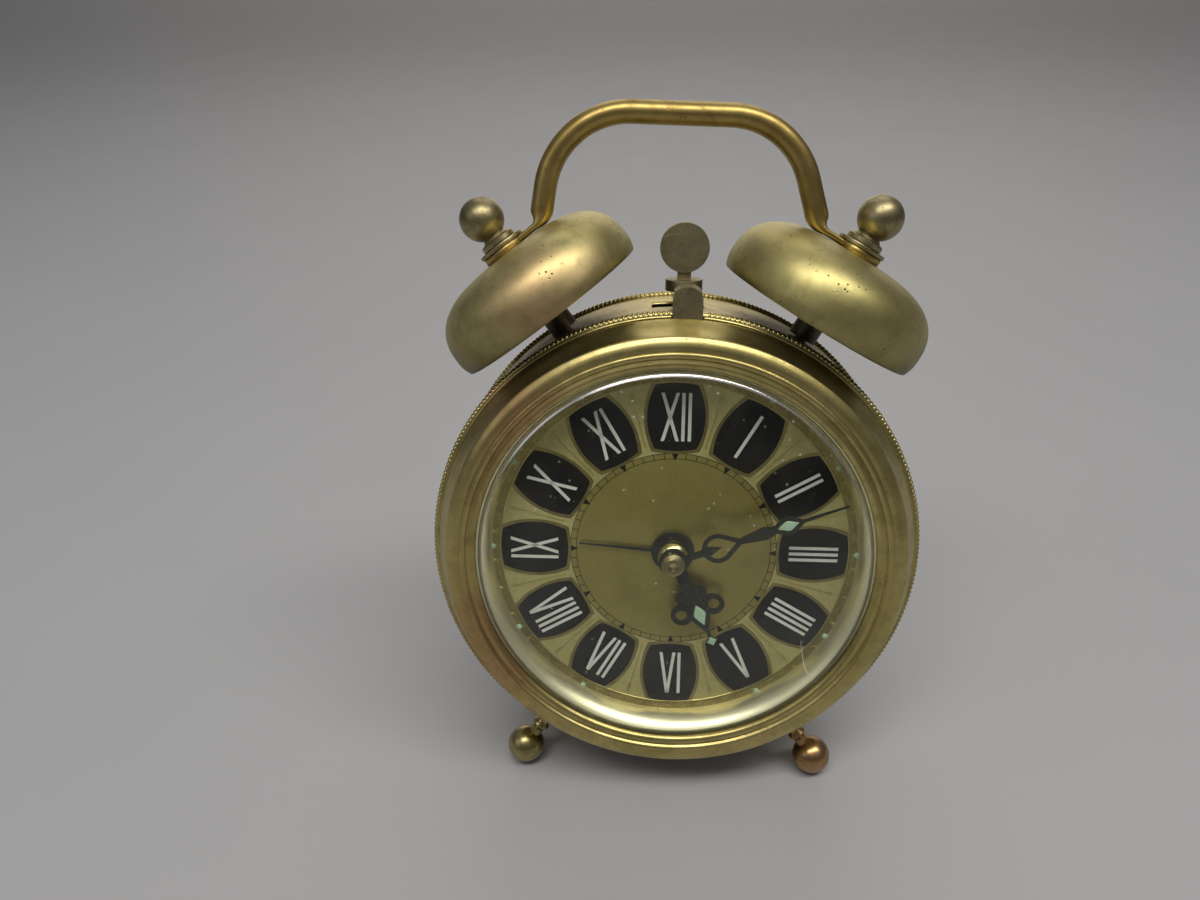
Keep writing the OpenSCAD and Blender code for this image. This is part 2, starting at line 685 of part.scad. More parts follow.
pipe_r = 1.45;
module hour_hand() {
    color(dark) place_hand(hour_angle, hour_hand_z) difference() {
        union() {
            cylinder(r = 2.3, h = hand_t);
            sheet() translate([-0.9, 1.8]) square([1.8, 6.7]);
            for (side = [-1, 1]) {
                translate([side * 2.5, 9.4, 0]) cylinder(r = 1.7, h = hand_t);
                translate([side * 1.4, 6.9, 0]) cylinder(r = 1.05, h = hand_t);
            }
            sheet() leaf(10.3, 1.6, 2.6, 3.2);
            sheet() translate([-0.25, 12.9]) square([0.5, 2.1]);
            translate([0, 15.1, 0]) rotate(45) translate([-0.65, -0.65, 0]) cube([1.3, 1.3, hand_t]);
        }
        for (side = [-1, 1]) translate([side * 2.6, 9.4, -1]) cylinder(r = 0.85, h = 3);
        window() leaf(10.3, 0.95, 1.5, 1.9);
        translate([0, 0, -1]) cylinder(r = pipe_r, h = 3);
    }
}

// Turned brass bush that the hour hand is riveted to
module hour_bush() {
    foot = hour_hand_z + hand_t + 0.02;
    color(brass) stand() difference() {
        union() {
            shaft(centre, 2.25, -foot - 0.6, -foot);
            translate([0, 0, foot + 0.6]) cylinder(r1 = 2.25, r2 = 1.8, h = 0.5);
        }
        shaft(centre, cannon_r + 0.1, -foot - 2, 0);
    }
}

alarm_pipe_r = 1.95;
module alarm_hand() {
    color(dark) place_hand(alarm_angle, alarm_hand_z) difference() {
        union() {
            cylinder(r = 3.2, h = hand_t);
            sheet() polygon([[-0.3, 2.3], [-0.1, alarm_len], [0.1, alarm_len], [0.3, 2.3]]);
        }
        translate([0, 0, -1]) cylinder(r = alarm_pipe_r, h = 3);
    }
}

// Domed nut that holds the minute hand on the cannon pipe
module hand_nut() {
    color(brass) stand() difference() {
        union() {
            shaft(centre, 1.75, -minute_hand_z - 1.2, -minute_hand_z - hand_t - 0.02);
            translate([0, 0, minute_hand_z + 1.2]) cylinder(r1 = 1.75, r2 = 1.1, h = 0.45);
        }
        shaft(centre, arbor_r, -minute_hand_z - 2, 0);
    }
}

// ---------------------------------------------------------------- movement

module plate(back, holes) {
    difference() {
        shaft(centre, plate_r, back, back + plate_t);
        for (h = holes) shaft(h[0], h[1], back - 1, back + plate_t + 1);
        for (a = pillar_angles) shaft(pillar_ring * [cos(a), sin(a)], 1.0, back - 1, back + plate_t + 1);
    }
}

module front_plate() {
    color(brass) stand() plate(front_plate_back, concat(
        [[centre, cannon_r + run], [time_barrel_at, winding_arbor_r + run], [alarm_barrel_at, winding_arbor_r + run],
         [minute_wheel_at, arbor_r + 0.01], [alarm_set_at, 0.8 + run], [hammer_at, arbor_r + run]],
        [for (p = [third_at, fourth_at, escape_at, pallet_at, balance_at, alarm_escape_at])
            [p, thin_arbor_r + run]],
        [for (p = dial_feet_at) [p, 0.75]]));
}

module back_plate() {
    color(brass) stand() difference() {
        plate(back_plate_back, concat(
            [[centre, arbor_r + run], [time_barrel_at, winding_arbor_r + run],
             [alarm_barrel_at, winding_arbor_r + run], [alarm_set_at, 0.8 + run], [hammer_at, arbor_r + run],
             [balance_at, 1.6]],
            [for (p = [third_at, fourth_at, escape_at, pallet_at, alarm_escape_at]) [p, thin_arbor_r + run]],
            [for (p = click_points) [p, 0.5]]));
    }
}

module pillars() {
    color(steel) stand() for (a = pillar_angles) {
        p = pillar_ring * [cos(a), sin(a)];
        difference() {
            union() {
                shaft(p, pillar_r, front_plate_back + plate_t, back_plate_back);
                shaft(p, 0.95, front_plate_back - 0.6, back_plate_back + plate_t + 0.1);
                shaft(p, pillar_r, back_plate_back + plate_t, cover_back + 0.6);
            }
            shaft(p, 0.85, cover_back - 3, cover_back + 3);
        }
    }
}

// Centre arbor with its wheel, its pinion and the cannon pinion that carries the minute hand
module centre_arbor() {
    color(steel) stand() {
        shaft(centre, arbor_r - 0.02, -minute_hand_z - 1.1, 22.6);
        shaft(centre, cannon_r - 0.02, -minute_hand_z - hand_t, front_plate_back + plate_t + 1);
        pinion(centre, cannon_teeth, centre_mod, cannon_turn, 2.55, 1.25, arbor_r - 0.05);
        pinion(centre, centre_pinion_teeth, great_mod, 0, 12.7, 2, arbor_r - 0.05);
        wheel(centre, centre_teeth, centre_mod, 0, centre_wheel_back, wheel_t, arbor_r - 0.05, 5);
        shaft(centre, 1.6, centre_wheel_back + wheel_t - eps, centre_wheel_back + 2);
    }
}

module minute_wheel() {
    at = minute_wheel_at;
    color(brass) stand() difference() {
        union() {
            wheel(at, minute_wheel_teeth, centre_mod, minute_wheel_turn, 2.9, 0.6, arbor_r);
            pinion(at, minute_pinion_teeth, hour_mod, minute_wheel_turn, 1.7, 1.25, arbor_r);
            shaft(at, arbor_r + 0.3, 1.7, 3.5);
        }
        shaft(at, arbor_r - 0.05, 2.4, 6);
    }
    color(steel) stand() shaft(at, arbor_r - 0.05, 2.2, front_plate_back + plate_t);
}

module hour_wheel() {
    color(brass) stand() difference() {
        union() {
            wheel(centre, hour_wheel_teeth, hour_mod, hour_wheel_turn, 1.75, 0.6, cannon_r + run);
            shaft(centre, pipe_r - 0.01, -hour_hand_z - hand_t, 2.3);
        }
        shaft(centre, cannon_r + run, -5, 5);
    }
}

module alarm_wheel() {
    color(brass) stand() difference() {
        union() {
            wheel(centre, alarm_wheel_teeth, centre_mod, 0, 0.8, 0.6, pipe_r + run);
            shaft(centre, alarm_pipe_r - 0.01, -alarm_hand_z - hand_t, 1.3);
        }
        shaft(centre, pipe_r + run, -5, 5);
    }
}

module alarm_set_arbor() {
    color(steel) stand() {
        shaft(alarm_set_at, 0.8, 0.7, 22.6);
        pinion(alarm_set_at, alarm_set_teeth, centre_mod, alarm_set_turn, 0.7, 1, 0.7);
    }
}

// An arbor of the going train: wheel and pinion on one thin shaft
module train_arbor(at) {
    shaft(at, thin_arbor_r, front_plate_back + 0.1, back_plate_back + plate_t - 0.1);
}

module third_wheel() {
    color(brass) stand() {
        train_arbor(third_at);
        pinion(third_at, third_pinion_teeth, centre_mod, third_turn, 5.9, 1.4, thin_arbor_r - 0.05);
        wheel(third_at, third_teeth, third_mod, third_turn, third_wheel_back, wheel_t, thin_arbor_r - 0.05);
    }
}

module fourth_wheel() {
    color(brass) stand() {
        train_arbor(fourth_at);
        pinion(fourth_at, fourth_pinion_teeth, third_mod, fourth_turn, 7.6, 1.4, thin_arbor_r - 0.05);
        wheel(fourth_at, fourth_teeth, fourth_mod, fourth_turn, fourth_wheel_back, wheel_t, thin_arbor_r - 0.05);
    }
}

// Escape wheel: slanted pointed teeth round a thin rim
escape_r = 4.8;
module ratchet_2d(teeth, tip_r, depth) {
    pitch = 360 / teeth;
    polygon([for (i = [0 : teeth - 1], p = [[0, tip_r], [0.22, tip_r - depth], [0.8, tip_r - depth]])
        let (a = (i + p[0]) * pitch) p[1] * [cos(a), sin(a)]]);
}

module escape_wheel() {
    color(brass) stand() {
        train_arbor(escape_at);
        pinion(escape_at, escape_pinion_teeth, fourth_mod, escape_turn, 9.8, 1.4, thin_arbor_r - 0.05);
        translate([escape_at[0], escape_at[1], -escape_wheel_back - wheel_t]) linear_extrude(wheel_t) difference() {
            ratchet_2d(escape_teeth, escape_r, 1);
            difference() {
                circle(r = escape_r - 1.7);
                circle(r = 1.3);
                for (i = [0 : 3]) rotate(i * 90) translate([0, -0.4]) square([4, 0.8]);
            }
            circle(r = thin_arbor_r - 0.05);
        }
    }
}

// Pallet lever: staff, two arms with steel pins and a fork towards the balance
module pallet_lever() {
    color(steel) stand() {
        train_arbor(pallet_at);
        translate([pallet_at[0], pallet_at[1], -escape_wheel_back - wheel_t]) {
            linear_extrude(wheel_t) {
                circle(r = 1.1);
                for (a = [-62, 62]) rotate(pallet_dir + 180 + a) translate([0, -0.4]) square([3.3, 0.8]);
                rotate(balance_dir) difference() {
                    translate([0, -0.5]) square([6.1, 1]);
                    translate([5.3, -0.22]) square([1, 0.44]);
                }
            }
        }
    }
}

// Balance wheel: rim, two arms, staff and the pin that the fork drives
balance_r = 6.3;
balance_back = 10.6;
module balance_wheel() {
    color(brass) stand() {
        shaft(balance_at, thin_arbor_r, front_plate_back + 0.1, 17.1);
        translate([balance_at[0], balance_at[1], -balance_back - 0.9]) rotate([0, 0, balance_dir]) {
            difference() {
                cylinder(r = balance_r, h = 0.9);
                translate([0, 0, -1]) cylinder(r = balance_r - 1, h = 3);
            }
            linear_extrude(0.9) difference() {
                union() {
                    translate([-balance_r + 0.5, -0.6]) square([2 * balance_r - 1, 1.2]);
                    circle(r = 1.2);
                }
                circle(r = thin_arbor_r - 0.05);
            }
        }
    }
}

// Cock over the balance, screwed to the back plate
cock_dir = 300;
cock_reach = 6.6;
module balance_cock() {
    foot_at = step_to(balance_at, cock_dir, cock_reach);
    color(old_brass) stand() difference() {
        union() {
            shaft(balance_at, 1.6, 16.8, 17.6);
            translate([balance_at[0], balance_at[1], -17.6]) rotate([0, 0, cock_dir]) translate([0, -1.3, 0])
                cube([cock_reach, 2.6, 0.8]);
            shaft(foot_at, 1.9, back_plate_back + plate_t + 0.02, 17.6);
        }
        shaft(balance_at, thin_arbor_r + run, 16, 17.2);
        shaft(foot_at, 0.7, 15, 19);
    }
}

// Flat spiral of thin strip from one radius to another
module spiral_strip(r_in, r_out, turns, strip, steps_a_turn) {
    steps = turns * steps_a_turn;
    function r_at(i) = r_in + (r_out - r_in) * i / steps;
    polygon(concat(
        [for (i = [0 : steps]) let (a = 360 * i / steps_a_turn) (r_at(i) + strip) * [cos(a), sin(a)]],
        [for (i = [steps : -1 : 0]) let (a = 360 * i / steps_a_turn) r_at(i) * [cos(a), sin(a)]]));
}

module hairspring() {
    color("#4b5a78") stand() translate([balance_at[0], balance_at[1], -13.6]) linear_extrude(0.5)
        spiral_strip(0.6, 3.6, 7, 0.12, 24);
}

// Regulator: a lever on the cock whose tail shows through the cover's slot
module regulator_lever() {
    color(steel) stand() difference() {
        union() {
            translate([balance_at[0], balance_at[1], -18.3]) rotate([0, 0, regulator_dir]) linear_extrude(0.5) {
                circle(r = 1.5);
                translate([0, -0.4]) square([regulator_reach, 0.8]);
            }
            shaft(step_to(balance_at, regulator_dir, regulator_reach), 0.5, 17.8, cover_back + 2.4);
        }
        shaft(balance_at, 0.6, 17, 20);
    }
}

// ---------------------------------------------------------------- going and alarm barrels

ratchet_back = 16.15;
ratchet_r = 3.4;
module great(at, teeth, turn) {
    color(brass) stand() {
        wheel(at, teeth, great_mod, turn, great_wheel_back, 1, winding_arbor_r + run, 5);
        ring(at, winding_arbor_r + 1.1, winding_arbor_r + run, great_wheel_back - 0.3, great_wheel_back + 0.05);
    }
}
module great_wheel() { great(time_barrel_at, great_teeth, great_turn); }
module alarm_great_wheel() { great(alarm_barrel_at, alarm_great_teeth, 0); }

module winding_arbor(at) {
    color(steel) stand() {
        shaft(at, winding_arbor_r, front_plate_back + 0.1, 22.2);
        translate([at[0], at[1], -ratchet_back - 0.8]) linear_extrude(0.8) difference() {
            ratchet_2d(18, ratchet_r, 0.6);
            circle(r = winding_arbor_r - 0.05);
        }
    }
}
module time_arbor() { winding_arbor(time_barrel_at); }
module alarm_arbor() { winding_arbor(alarm_barrel_at); }

module mainspring(at, r_out) {
    color("#55585e") stand() translate([at[0], at[1], -12.4]) linear_extrude(3.6)
        spiral_strip(winding_arbor_r + 0.15, r_out, 9, 0.25, 30);
}
module time_mainspring() { mainspring(time_barrel_at, 8.6); }
module alarm_mainspring() { mainspring(alarm_barrel_at, 7.6); }

click_reach = 6.6;
click_points = [step_to(time_barrel_at, 250, click_reach), step_to(alarm_barrel_at, 290, click_reach)];
module click(at, dir) {
    p = step_to(at, dir, click_reach);
    color(steel) stand() {
        translate([p[0], p[1], -ratchet_back - 0.75]) linear_extrude(0.7) {
            circle(r = 1.1);
            rotate(dir + 180 - 32) polygon([[0, -0.7], [3.3, -0.35], [3.6, 0.1], [3.1, 0.35], [0, 0.7]]);
        }
        shaft(p, 0.45, back_plate_back + 0.2, ratchet_back + 1.1);
    }
}
module time_click() { click(time_barrel_at, 250); }
module alarm_click() { click(alarm_barrel_at, 290); }

// Alarm escape wheel that shakes the hammer's two pallets
module alarm_escape_wheel() {
    color(brass) stand() {
        train_arbor(alarm_escape_at);
        pinion(alarm_escape_at, alarm_escape_pinion_teeth, great_mod, alarm_escape_turn, 12.9, 1.6,
               thin_arbor_r - 0.05);
        translate([alarm_escape_at[0], alarm_escape_at[1], -12.5]) linear_extrude(0.7) difference() {
            ratchet_2d(alarm_escape_teeth, 4.2, 1);
            circle(r = thin_arbor_r - 0.05);
        }
    }
}

// ---------------------------------------------------------------- keys and knobs

// Winding key: collar and two flat wings with round holes
module key(at) {
    color(brass) stand() difference() {
        union() {
            shaft(at, 2, 21.2, 25.2);
            translate([at[0], at[1], 0]) for (side = [-1, 1])
                translate([side * 4.1, 0, -26.2]) rotate([90, 0, 0]) cylinder(r = 3.4, h = 1, center = true);
            translate([at[0] - 4.4, at[1] - 0.5, -27.4]) cube([8.8, 1, 3]);
        }
        translate([at[0], at[1], 0]) for (side = [-1, 1])
            translate([side * 4.3, 0, -26.2]) rotate([90, 0, 0]) cylinder(r = 1.5, h = 3, center = true);
        shaft(at, winding_arbor_r, 20, 22.25);
    }
}
module time_key() { key(time_barrel_at); }
module alarm_key() { key(alarm_barrel_at); }

// Setting knob with a fluted rim
module knob(at, bore_r) {
    knob_r = 3;
    flutes = 18;
    color(old_brass) stand() difference() {
        union() {
            shaft(at, knob_r, 22.2, 24.4);
            shaft(at, 1.2, 21.2, 22.3);
        }
        for (i = [0 : flutes - 1])
            shaft(at + (knob_r + 0.12) * [cos(i * 360 / flutes), sin(i * 360 / flutes)], 0.3, 22, 25);
        shaft(at, bore_r, 20, 22.65);
    }
}
module set_knob() { knob(centre, arbor_r - 0.02); }
module alarm_set_knob() { knob(alarm_set_at, 0.8); }

case_drum();
bezel();
crystal();
reflector_ring();
dial();
back_cover();
cover_screws();
foot_left();
foot_right();
bell_left();
bell_right();
bell_post_left();
bell_post_right();
finial_left();
finial_right();
bell_washers();
handle();
hammer();
hammer_arbor();
stop_button();
stop_bracket();
stop_spring();
minute_hand();
hour_hand();
hour_bush();
alarm_hand();
hand_nut();
front_plate();
back_plate();
pillars();
centre_arbor();
minute_wheel();
hour_wheel();
alarm_wheel();
third_wheel();
fourth_wheel();
escape_wheel();
pallet_lever();
balance_wheel();
balance_cock();
hairspring();
regulator_lever();
great_wheel();
time_arbor();
time_mainspring();
time_click();
alarm_great_wheel();
alarm_arbor();
alarm_mainspring();
alarm_click();
alarm_escape_wheel();
time_key();
alarm_key();
set_knob();
alarm_set_knob();
alarm_set_arbor();
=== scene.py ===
# Looks of the twin-bell alarm clock: smooth case, bells and handle, dial printing and relief,
# crystal, hands' lume, procedural materials, floor, lights and camera.
import json
import math
import random

import bmesh
import bpy
from mathutils import Matrix, Vector


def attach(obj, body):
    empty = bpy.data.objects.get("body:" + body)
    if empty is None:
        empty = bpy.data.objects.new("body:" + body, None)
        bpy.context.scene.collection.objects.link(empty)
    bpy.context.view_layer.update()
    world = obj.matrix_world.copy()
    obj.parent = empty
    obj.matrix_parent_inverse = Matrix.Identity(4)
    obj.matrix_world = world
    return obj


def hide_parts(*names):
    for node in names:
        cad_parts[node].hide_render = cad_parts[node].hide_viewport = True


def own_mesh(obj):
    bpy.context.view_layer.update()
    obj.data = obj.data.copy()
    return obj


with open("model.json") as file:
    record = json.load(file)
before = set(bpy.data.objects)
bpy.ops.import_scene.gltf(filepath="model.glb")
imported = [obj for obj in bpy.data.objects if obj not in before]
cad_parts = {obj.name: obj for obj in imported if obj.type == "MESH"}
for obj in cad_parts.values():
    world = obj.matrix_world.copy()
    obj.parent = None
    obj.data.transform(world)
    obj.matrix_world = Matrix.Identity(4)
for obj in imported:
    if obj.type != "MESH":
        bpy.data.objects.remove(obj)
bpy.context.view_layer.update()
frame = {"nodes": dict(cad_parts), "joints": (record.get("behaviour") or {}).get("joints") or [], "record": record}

# ------------------------------------------------------------ the clock's own frame, in mm
# X right, Y up, Z out of the dial, with the dial's middle at the origin.
JOINTS = {j["name"]: j for j in frame["joints"]}
MINUTE_JOINT_BACK = 6.0
ACROSS = Vector((1, 0, 0))
FRONT = Vector(JOINTS["minute_turn"]["axis"]).normalized()
UP = FRONT.cross(ACROSS)
DIAL = Vector(JOINTS["minute_turn"]["pos_m"]) + FRONT * (MINUTE_JOINT_BACK / 1000)
CLOCK = Matrix((
    (ACROSS.x, UP.x, FRONT.x, DIAL.x),
    (ACROSS.y, UP.y, FRONT.y, DIAL.y),
    (ACROSS.z, UP.z, FRONT.z, DIAL.z),
    (0, 0, 0, 1))) @ Matrix.Scale(0.001, 4)

# Sizes in mm and angles in degrees, as in the CAD.
DRUM_R, DRUM_WALL, DRUM_FRONT, DRUM_BACK, REAR_RIM = 35.3, 0.5, 0.8, -19.3, -18.3
BEAD_COUNT, BEAD_HALF, BAND_R = 320, (0.345, 0.5, 0.62), 0.54
# The front beads stop at the button's notch, between these degrees from twelve.
NOTCH_SPAN = (-1.75, 5.7)
BUTTON_X, BUTTON_HALF, BUTTON_BACK = 1.2, 2.17, -3.12
SLOT_HALF, SLOT_FRONT, SLOT_BACK = 3.8, -6.9, -11.1
WINDOW_R, CRYSTAL_R, CRYSTAL_EDGE, CRYSTAL_TOP, CRYSTAL_T = 28.8, 28.6, 4.85, 8.2, 0.9
CRYSTAL_RISE = CRYSTAL_TOP - CRYSTAL_EDGE
DOME_R = (CRYSTAL_R ** 2 + CRYSTAL_RISE ** 2) / (2 * CRYSTAL_RISE)
BELL_R, BELL_H, BELL_WALL, BELL_BACK, SKIRT, RIM_IN = 15.6, 10.6, 0.65, 9.0, 2.2, 0.45
POST_AT = {-1: 27.8, 1: 30.8}
TILT = {-1: 37.0, 1: 30.0}
SIDE = {-1: "left", 1: "right"}
RIM_GAP, WASHER_T, NUT_R, FINIAL_R, FINIAL_RISE = 3.6, 0.6, 2.7, 3.25, 5.9
CROWN = RIM_GAP + BELL_H
TAB_T, TAB_R, TAB_WIDE, TAB_BEND = 1.0, 3.4, 3.9, 2.4
TAB_START, TAB_REACH, TAB_FLAT, TAB_CHANGE = 1.2, 6.6, 4.2, 2.8
WIRE_D, HANDLE_LEFT, HANDLE_RIGHT, HANDLE_TOP, HANDLE_BEND, BAR_DROP = 3.3, -17.5, 15.3, 61.7, 12.0, 1.2
FOOT_R, FOOT_REACH, FOOT_ANGLE, FOOT_BACK = 2.95, 43.0, 32.6, 2.2
DISC_R, PANEL_R, DIAL_R, CARTOUCHE_R, LUME_DOT_R = 15.3, 26.0, 28.9, 20.7, 27.0
STROKE, TALL = 0.48, 7.2
MINUTE_ANGLE, HOUR_ANGLE = 69.0, 155.75
MINUTE_Z, HOUR_Z, HAND_T = 4.2, 1.9, 0.25


def turned(angle):
    """Rotation in the dial's plane, clockwise from twelve."""
    return Matrix.Rotation(math.radians(-angle), 4, "Z")


def frame_at(origin, z_dir, x_dir):
    """Matrix with the given origin and the given Z and X directions."""
    z = Vector(z_dir).normalized()
    x = Vector(x_dir).normalized()
    y = z.cross(x)
    return Matrix((
        (x.x, y.x, z.x, origin[0]),
        (x.y, y.y, z.y, origin[1]),
        (x.z, y.z, z.z, origin[2]),
        (0, 0, 0, 1)))


def bell_frame(side):
    """A bell's frame: Z along its post, with the post's foot on the drum as the origin."""
    at, tilt = math.radians(POST_AT[side]), math.radians(TILT[side])
    return frame_at((side * DRUM_R * math.sin(at), DRUM_R * math.cos(at), -BELL_BACK),
                    (side * math.sin(tilt), math.cos(tilt), 0), (math.cos(tilt), -side * math.sin(tilt), 0))


def foot_frame(side):
    """A foot's frame: Z along its stem, from the drum's middle."""
    a = math.radians(FOOT_ANGLE)
    return frame_at((0, 0, -FOOT_BACK), (side * math.sin(a), -math.cos(a), 0),
                    (math.cos(a), side * math.sin(a), 0))


# ------------------------------------------------------------ meshes
def piece(name, verts, faces, body, mat, where=Matrix.Identity(4), sharp=35):
    """A mesh object from clock-frame points in mm, its faces turned outward, which rides on a body."""
    mesh = bpy.data.meshes.new(name)
    mesh.from_pydata([CLOCK @ (where @ Vector(v)) for v in verts], [], faces)
    mesh.validate()
    outward = bmesh.new()
    outward.from_mesh(mesh)
    bmesh.ops.recalc_face_normals(outward, faces=outward.faces)
    outward.to_mesh(mesh)
    outward.free()
    for p in mesh.polygons:
        p.use_smooth = True
    mesh.set_sharp_from_angle(angle=math.radians(sharp))
    obj = bpy.data.objects.new(name, mesh)
    bpy.context.scene.collection.objects.link(obj)
    mesh.materials.append(mat)
    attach(obj, body)
    return obj


def lathe(profile, steps, closed=True):
    """Points and faces of a profile of (radius, height) turned round Z."""
    verts, faces, rows = [], [], []
    for r, h in profile:
        if r < 1e-6:
            rows.append([len(verts)] * steps)
            verts.append((0, 0, h))
        else:
            rows.append(list(range(len(verts), len(verts) + steps)))
            verts += [(r * math.cos(2 * math.pi * i / steps), r * math.sin(2 * math.pi * i / steps), h)
                      for i in range(steps)]
    pairs = list(zip(rows, rows[1:])) + ([(rows[-1], rows[0])] if closed else [])
    for a, b in pairs:
        for i in range(steps):
            j = (i + 1) % steps
            face = [a[i], a[j], b[j], b[i]]
            face = [v for k, v in enumerate(face) if v not in face[:k]]
            if len(face) > 2:
                faces.append(face)
    return verts, faces


def smooth_line(points, n):
    """Catmull-Rom line through the points, with n steps between two of them."""
    out = []
    for i in range(len(points) - 1):
        p0, p1, p2, p3 = (Vector(points[max(0, min(len(points) - 1, i + k))]) for k in (-1, 0, 1, 2))
        for s in range(n):
            t = s / n
            out.append(tuple(0.5 * ((2 * p1) + (p2 - p0) * t + (2 * p0 - 5 * p1 + 4 * p2 - p3) * t * t
                                    + (3 * p1 - p0 - 3 * p2 + p3) * t ** 3)))
    return out + [tuple(points[-1])]


def arc(cx, cy, r, a0, a1, n):
    """Points of an arc, with its angles in degrees."""
    return [(cx + r * math.cos(math.radians(a0 + (a1 - a0) * i / n)),
             cy + r * math.sin(math.radians(a0 + (a1 - a0) * i / n))) for i in range(n + 1)]


def slab(outline, z0, z1):
    """Closed prism over a flat outline, slightly drawn in at the top edge."""
    n = len(outline)
    cx = sum(p[0] for p in outline) / n
    cy = sum(p[1] for p in outline) / n
    top = []
    for x, y in outline:
        d = math.hypot(x - cx, y - cy) or 1
        k = min(0.5, (z1 - z0) * 0.6 / d)
        top.append((x + (cx - x) * k, y + (cy - y) * k, z1))
    verts = [(x, y, z0) for x, y in outline] + top
    faces = [[i, (i + 1) % n, n + (i + 1) % n, n + i] for i in range(n)]
    faces += [list(range(n, 2 * n)), list(range(n - 1, -1, -1))]
    return verts, faces


def gather(parts):
    """One mesh from several (verts, faces, matrix)."""
    verts, faces = [], []
    for v, f, m in parts:
        base = len(verts)
        verts += [tuple(m @ Vector(p)) for p in v]
        faces += [[base + i for i in face] for face in f]
    return verts, faces


# ------------------------------------------------------------ materials
class Tree:
    """A node material: nodes are added with their sockets set, and linked by name."""

    def __init__(self, name):
        self.mat = bpy.data.materials.new(name)
        self.mat.use_nodes = True
        self.nt = self.mat.node_tree
        self.nt.nodes.clear()
        self.out = self.nt.nodes.new("ShaderNodeOutputMaterial")
        self.bsdf = self.node("BsdfPrincipled")
        self.link(self.bsdf.outputs["BSDF"], self.out.inputs["Surface"])
        self.coords = self.node("TexCoord").outputs["Object"]

    def node(self, kind, **sockets):
        """A node of the given kind, its named sockets set."""
        n = self.nt.nodes.new("ShaderNode" + kind)
        for key, value in sockets.items():
            n.inputs[key].default_value = value
        return n

    def link(self, a, b):
        self.nt.links.new(a, b)

    def stretched(self, scale, turn=(0, 0, 0)):
        """The object's coordinates, scaled and turned."""
        m = self.node("Mapping")
        m.inputs["Scale"].default_value = scale
        m.inputs["Rotation"].default_value = turn
        self.link(self.coords, m.inputs["Vector"])
        return m.outputs["Vector"]

    def noise(self, scale, detail=3.0, rough=0.55, vector=None, distort=0.0):
        n = self.node("TexNoise", Scale=scale, Detail=detail, Roughness=rough, Distortion=distort)
        self.link(vector or self.coords, n.inputs["Vector"])
        return n.outputs["Fac"]

    def cells(self, scale):
        n = self.node("TexVoronoi", Scale=scale)
        self.link(self.coords, n.inputs["Vector"])
        return n.outputs["Distance"]

    def specks(self, scale, small, large, patch, fewer=0.55, detail=2.0):
        """Dots of a cell pattern, which show only in patches."""
        dots = self.ramp(self.cells(scale), [(small, 1.0), (large, 0.0)])
        return self.math("MULTIPLY", dots, self.ramp(self.noise(patch, detail), [(fewer, 0.0), (0.62, 1.0)]))

    def ramp(self, fac, stops):
        """A value or a colour that runs through the (place, value) stops."""
        r = self.nt.nodes.new("ShaderNodeValToRGB")
        el = r.color_ramp.elements
        while len(el) < len(stops):
            el.new(0.5)
        for e, (pos, value) in zip(el, stops):
            e.position = pos
            e.color = (*value, 1) if isinstance(value, tuple) else (value, value, value, 1)
        self.link(fac, r.inputs["Fac"])
        return r.outputs["Color"]

    def math(self, op, a, b=None, clamp=False):
        m = self.nt.nodes.new("ShaderNodeMath")
        m.operation = op
        m.use_clamp = clamp
        for i, v in enumerate((a, b)):
            if v is None:
                continue
            if isinstance(v, (int, float)):
                m.inputs[i].default_value = v
            else:
                self.link(v, m.inputs[i])
        return m.outputs[0]

    def mix(self, fac, a, b):
        """Blend of two colours. A Mix node has its colour sockets at 6 and 7, and its colour result at 2."""
        m = self.nt.nodes.new("ShaderNodeMix")
        m.data_type = "RGBA"
        for key, v in ((0, fac), (6, a), (7, b)):
            if isinstance(v, (int, float)):
                m.inputs[key].default_value = v
            elif isinstance(v, tuple):
                m.inputs[key].default_value = (*v, 1)
            else:
                self.link(v, m.inputs[key])
        return m.outputs[2]

    def bump(self, height, distance, strength=1.0, chain=None):
        b = self.node("Bump", Strength=strength, Distance=distance)
        self.link(height, b.inputs["Height"])
        if chain is not None:
            self.link(chain, b.inputs["Normal"])
        return b.outputs["Normal"]

    def finish(self, color=None, rough=None, normal=None):
        """Links what is given to the surface and returns the material."""
        for key, v in (("Base Color", color), ("Roughness", rough), ("Normal", normal)):
            if v is not None:
                self.link(v, self.bsdf.inputs[key])
        return self.mat


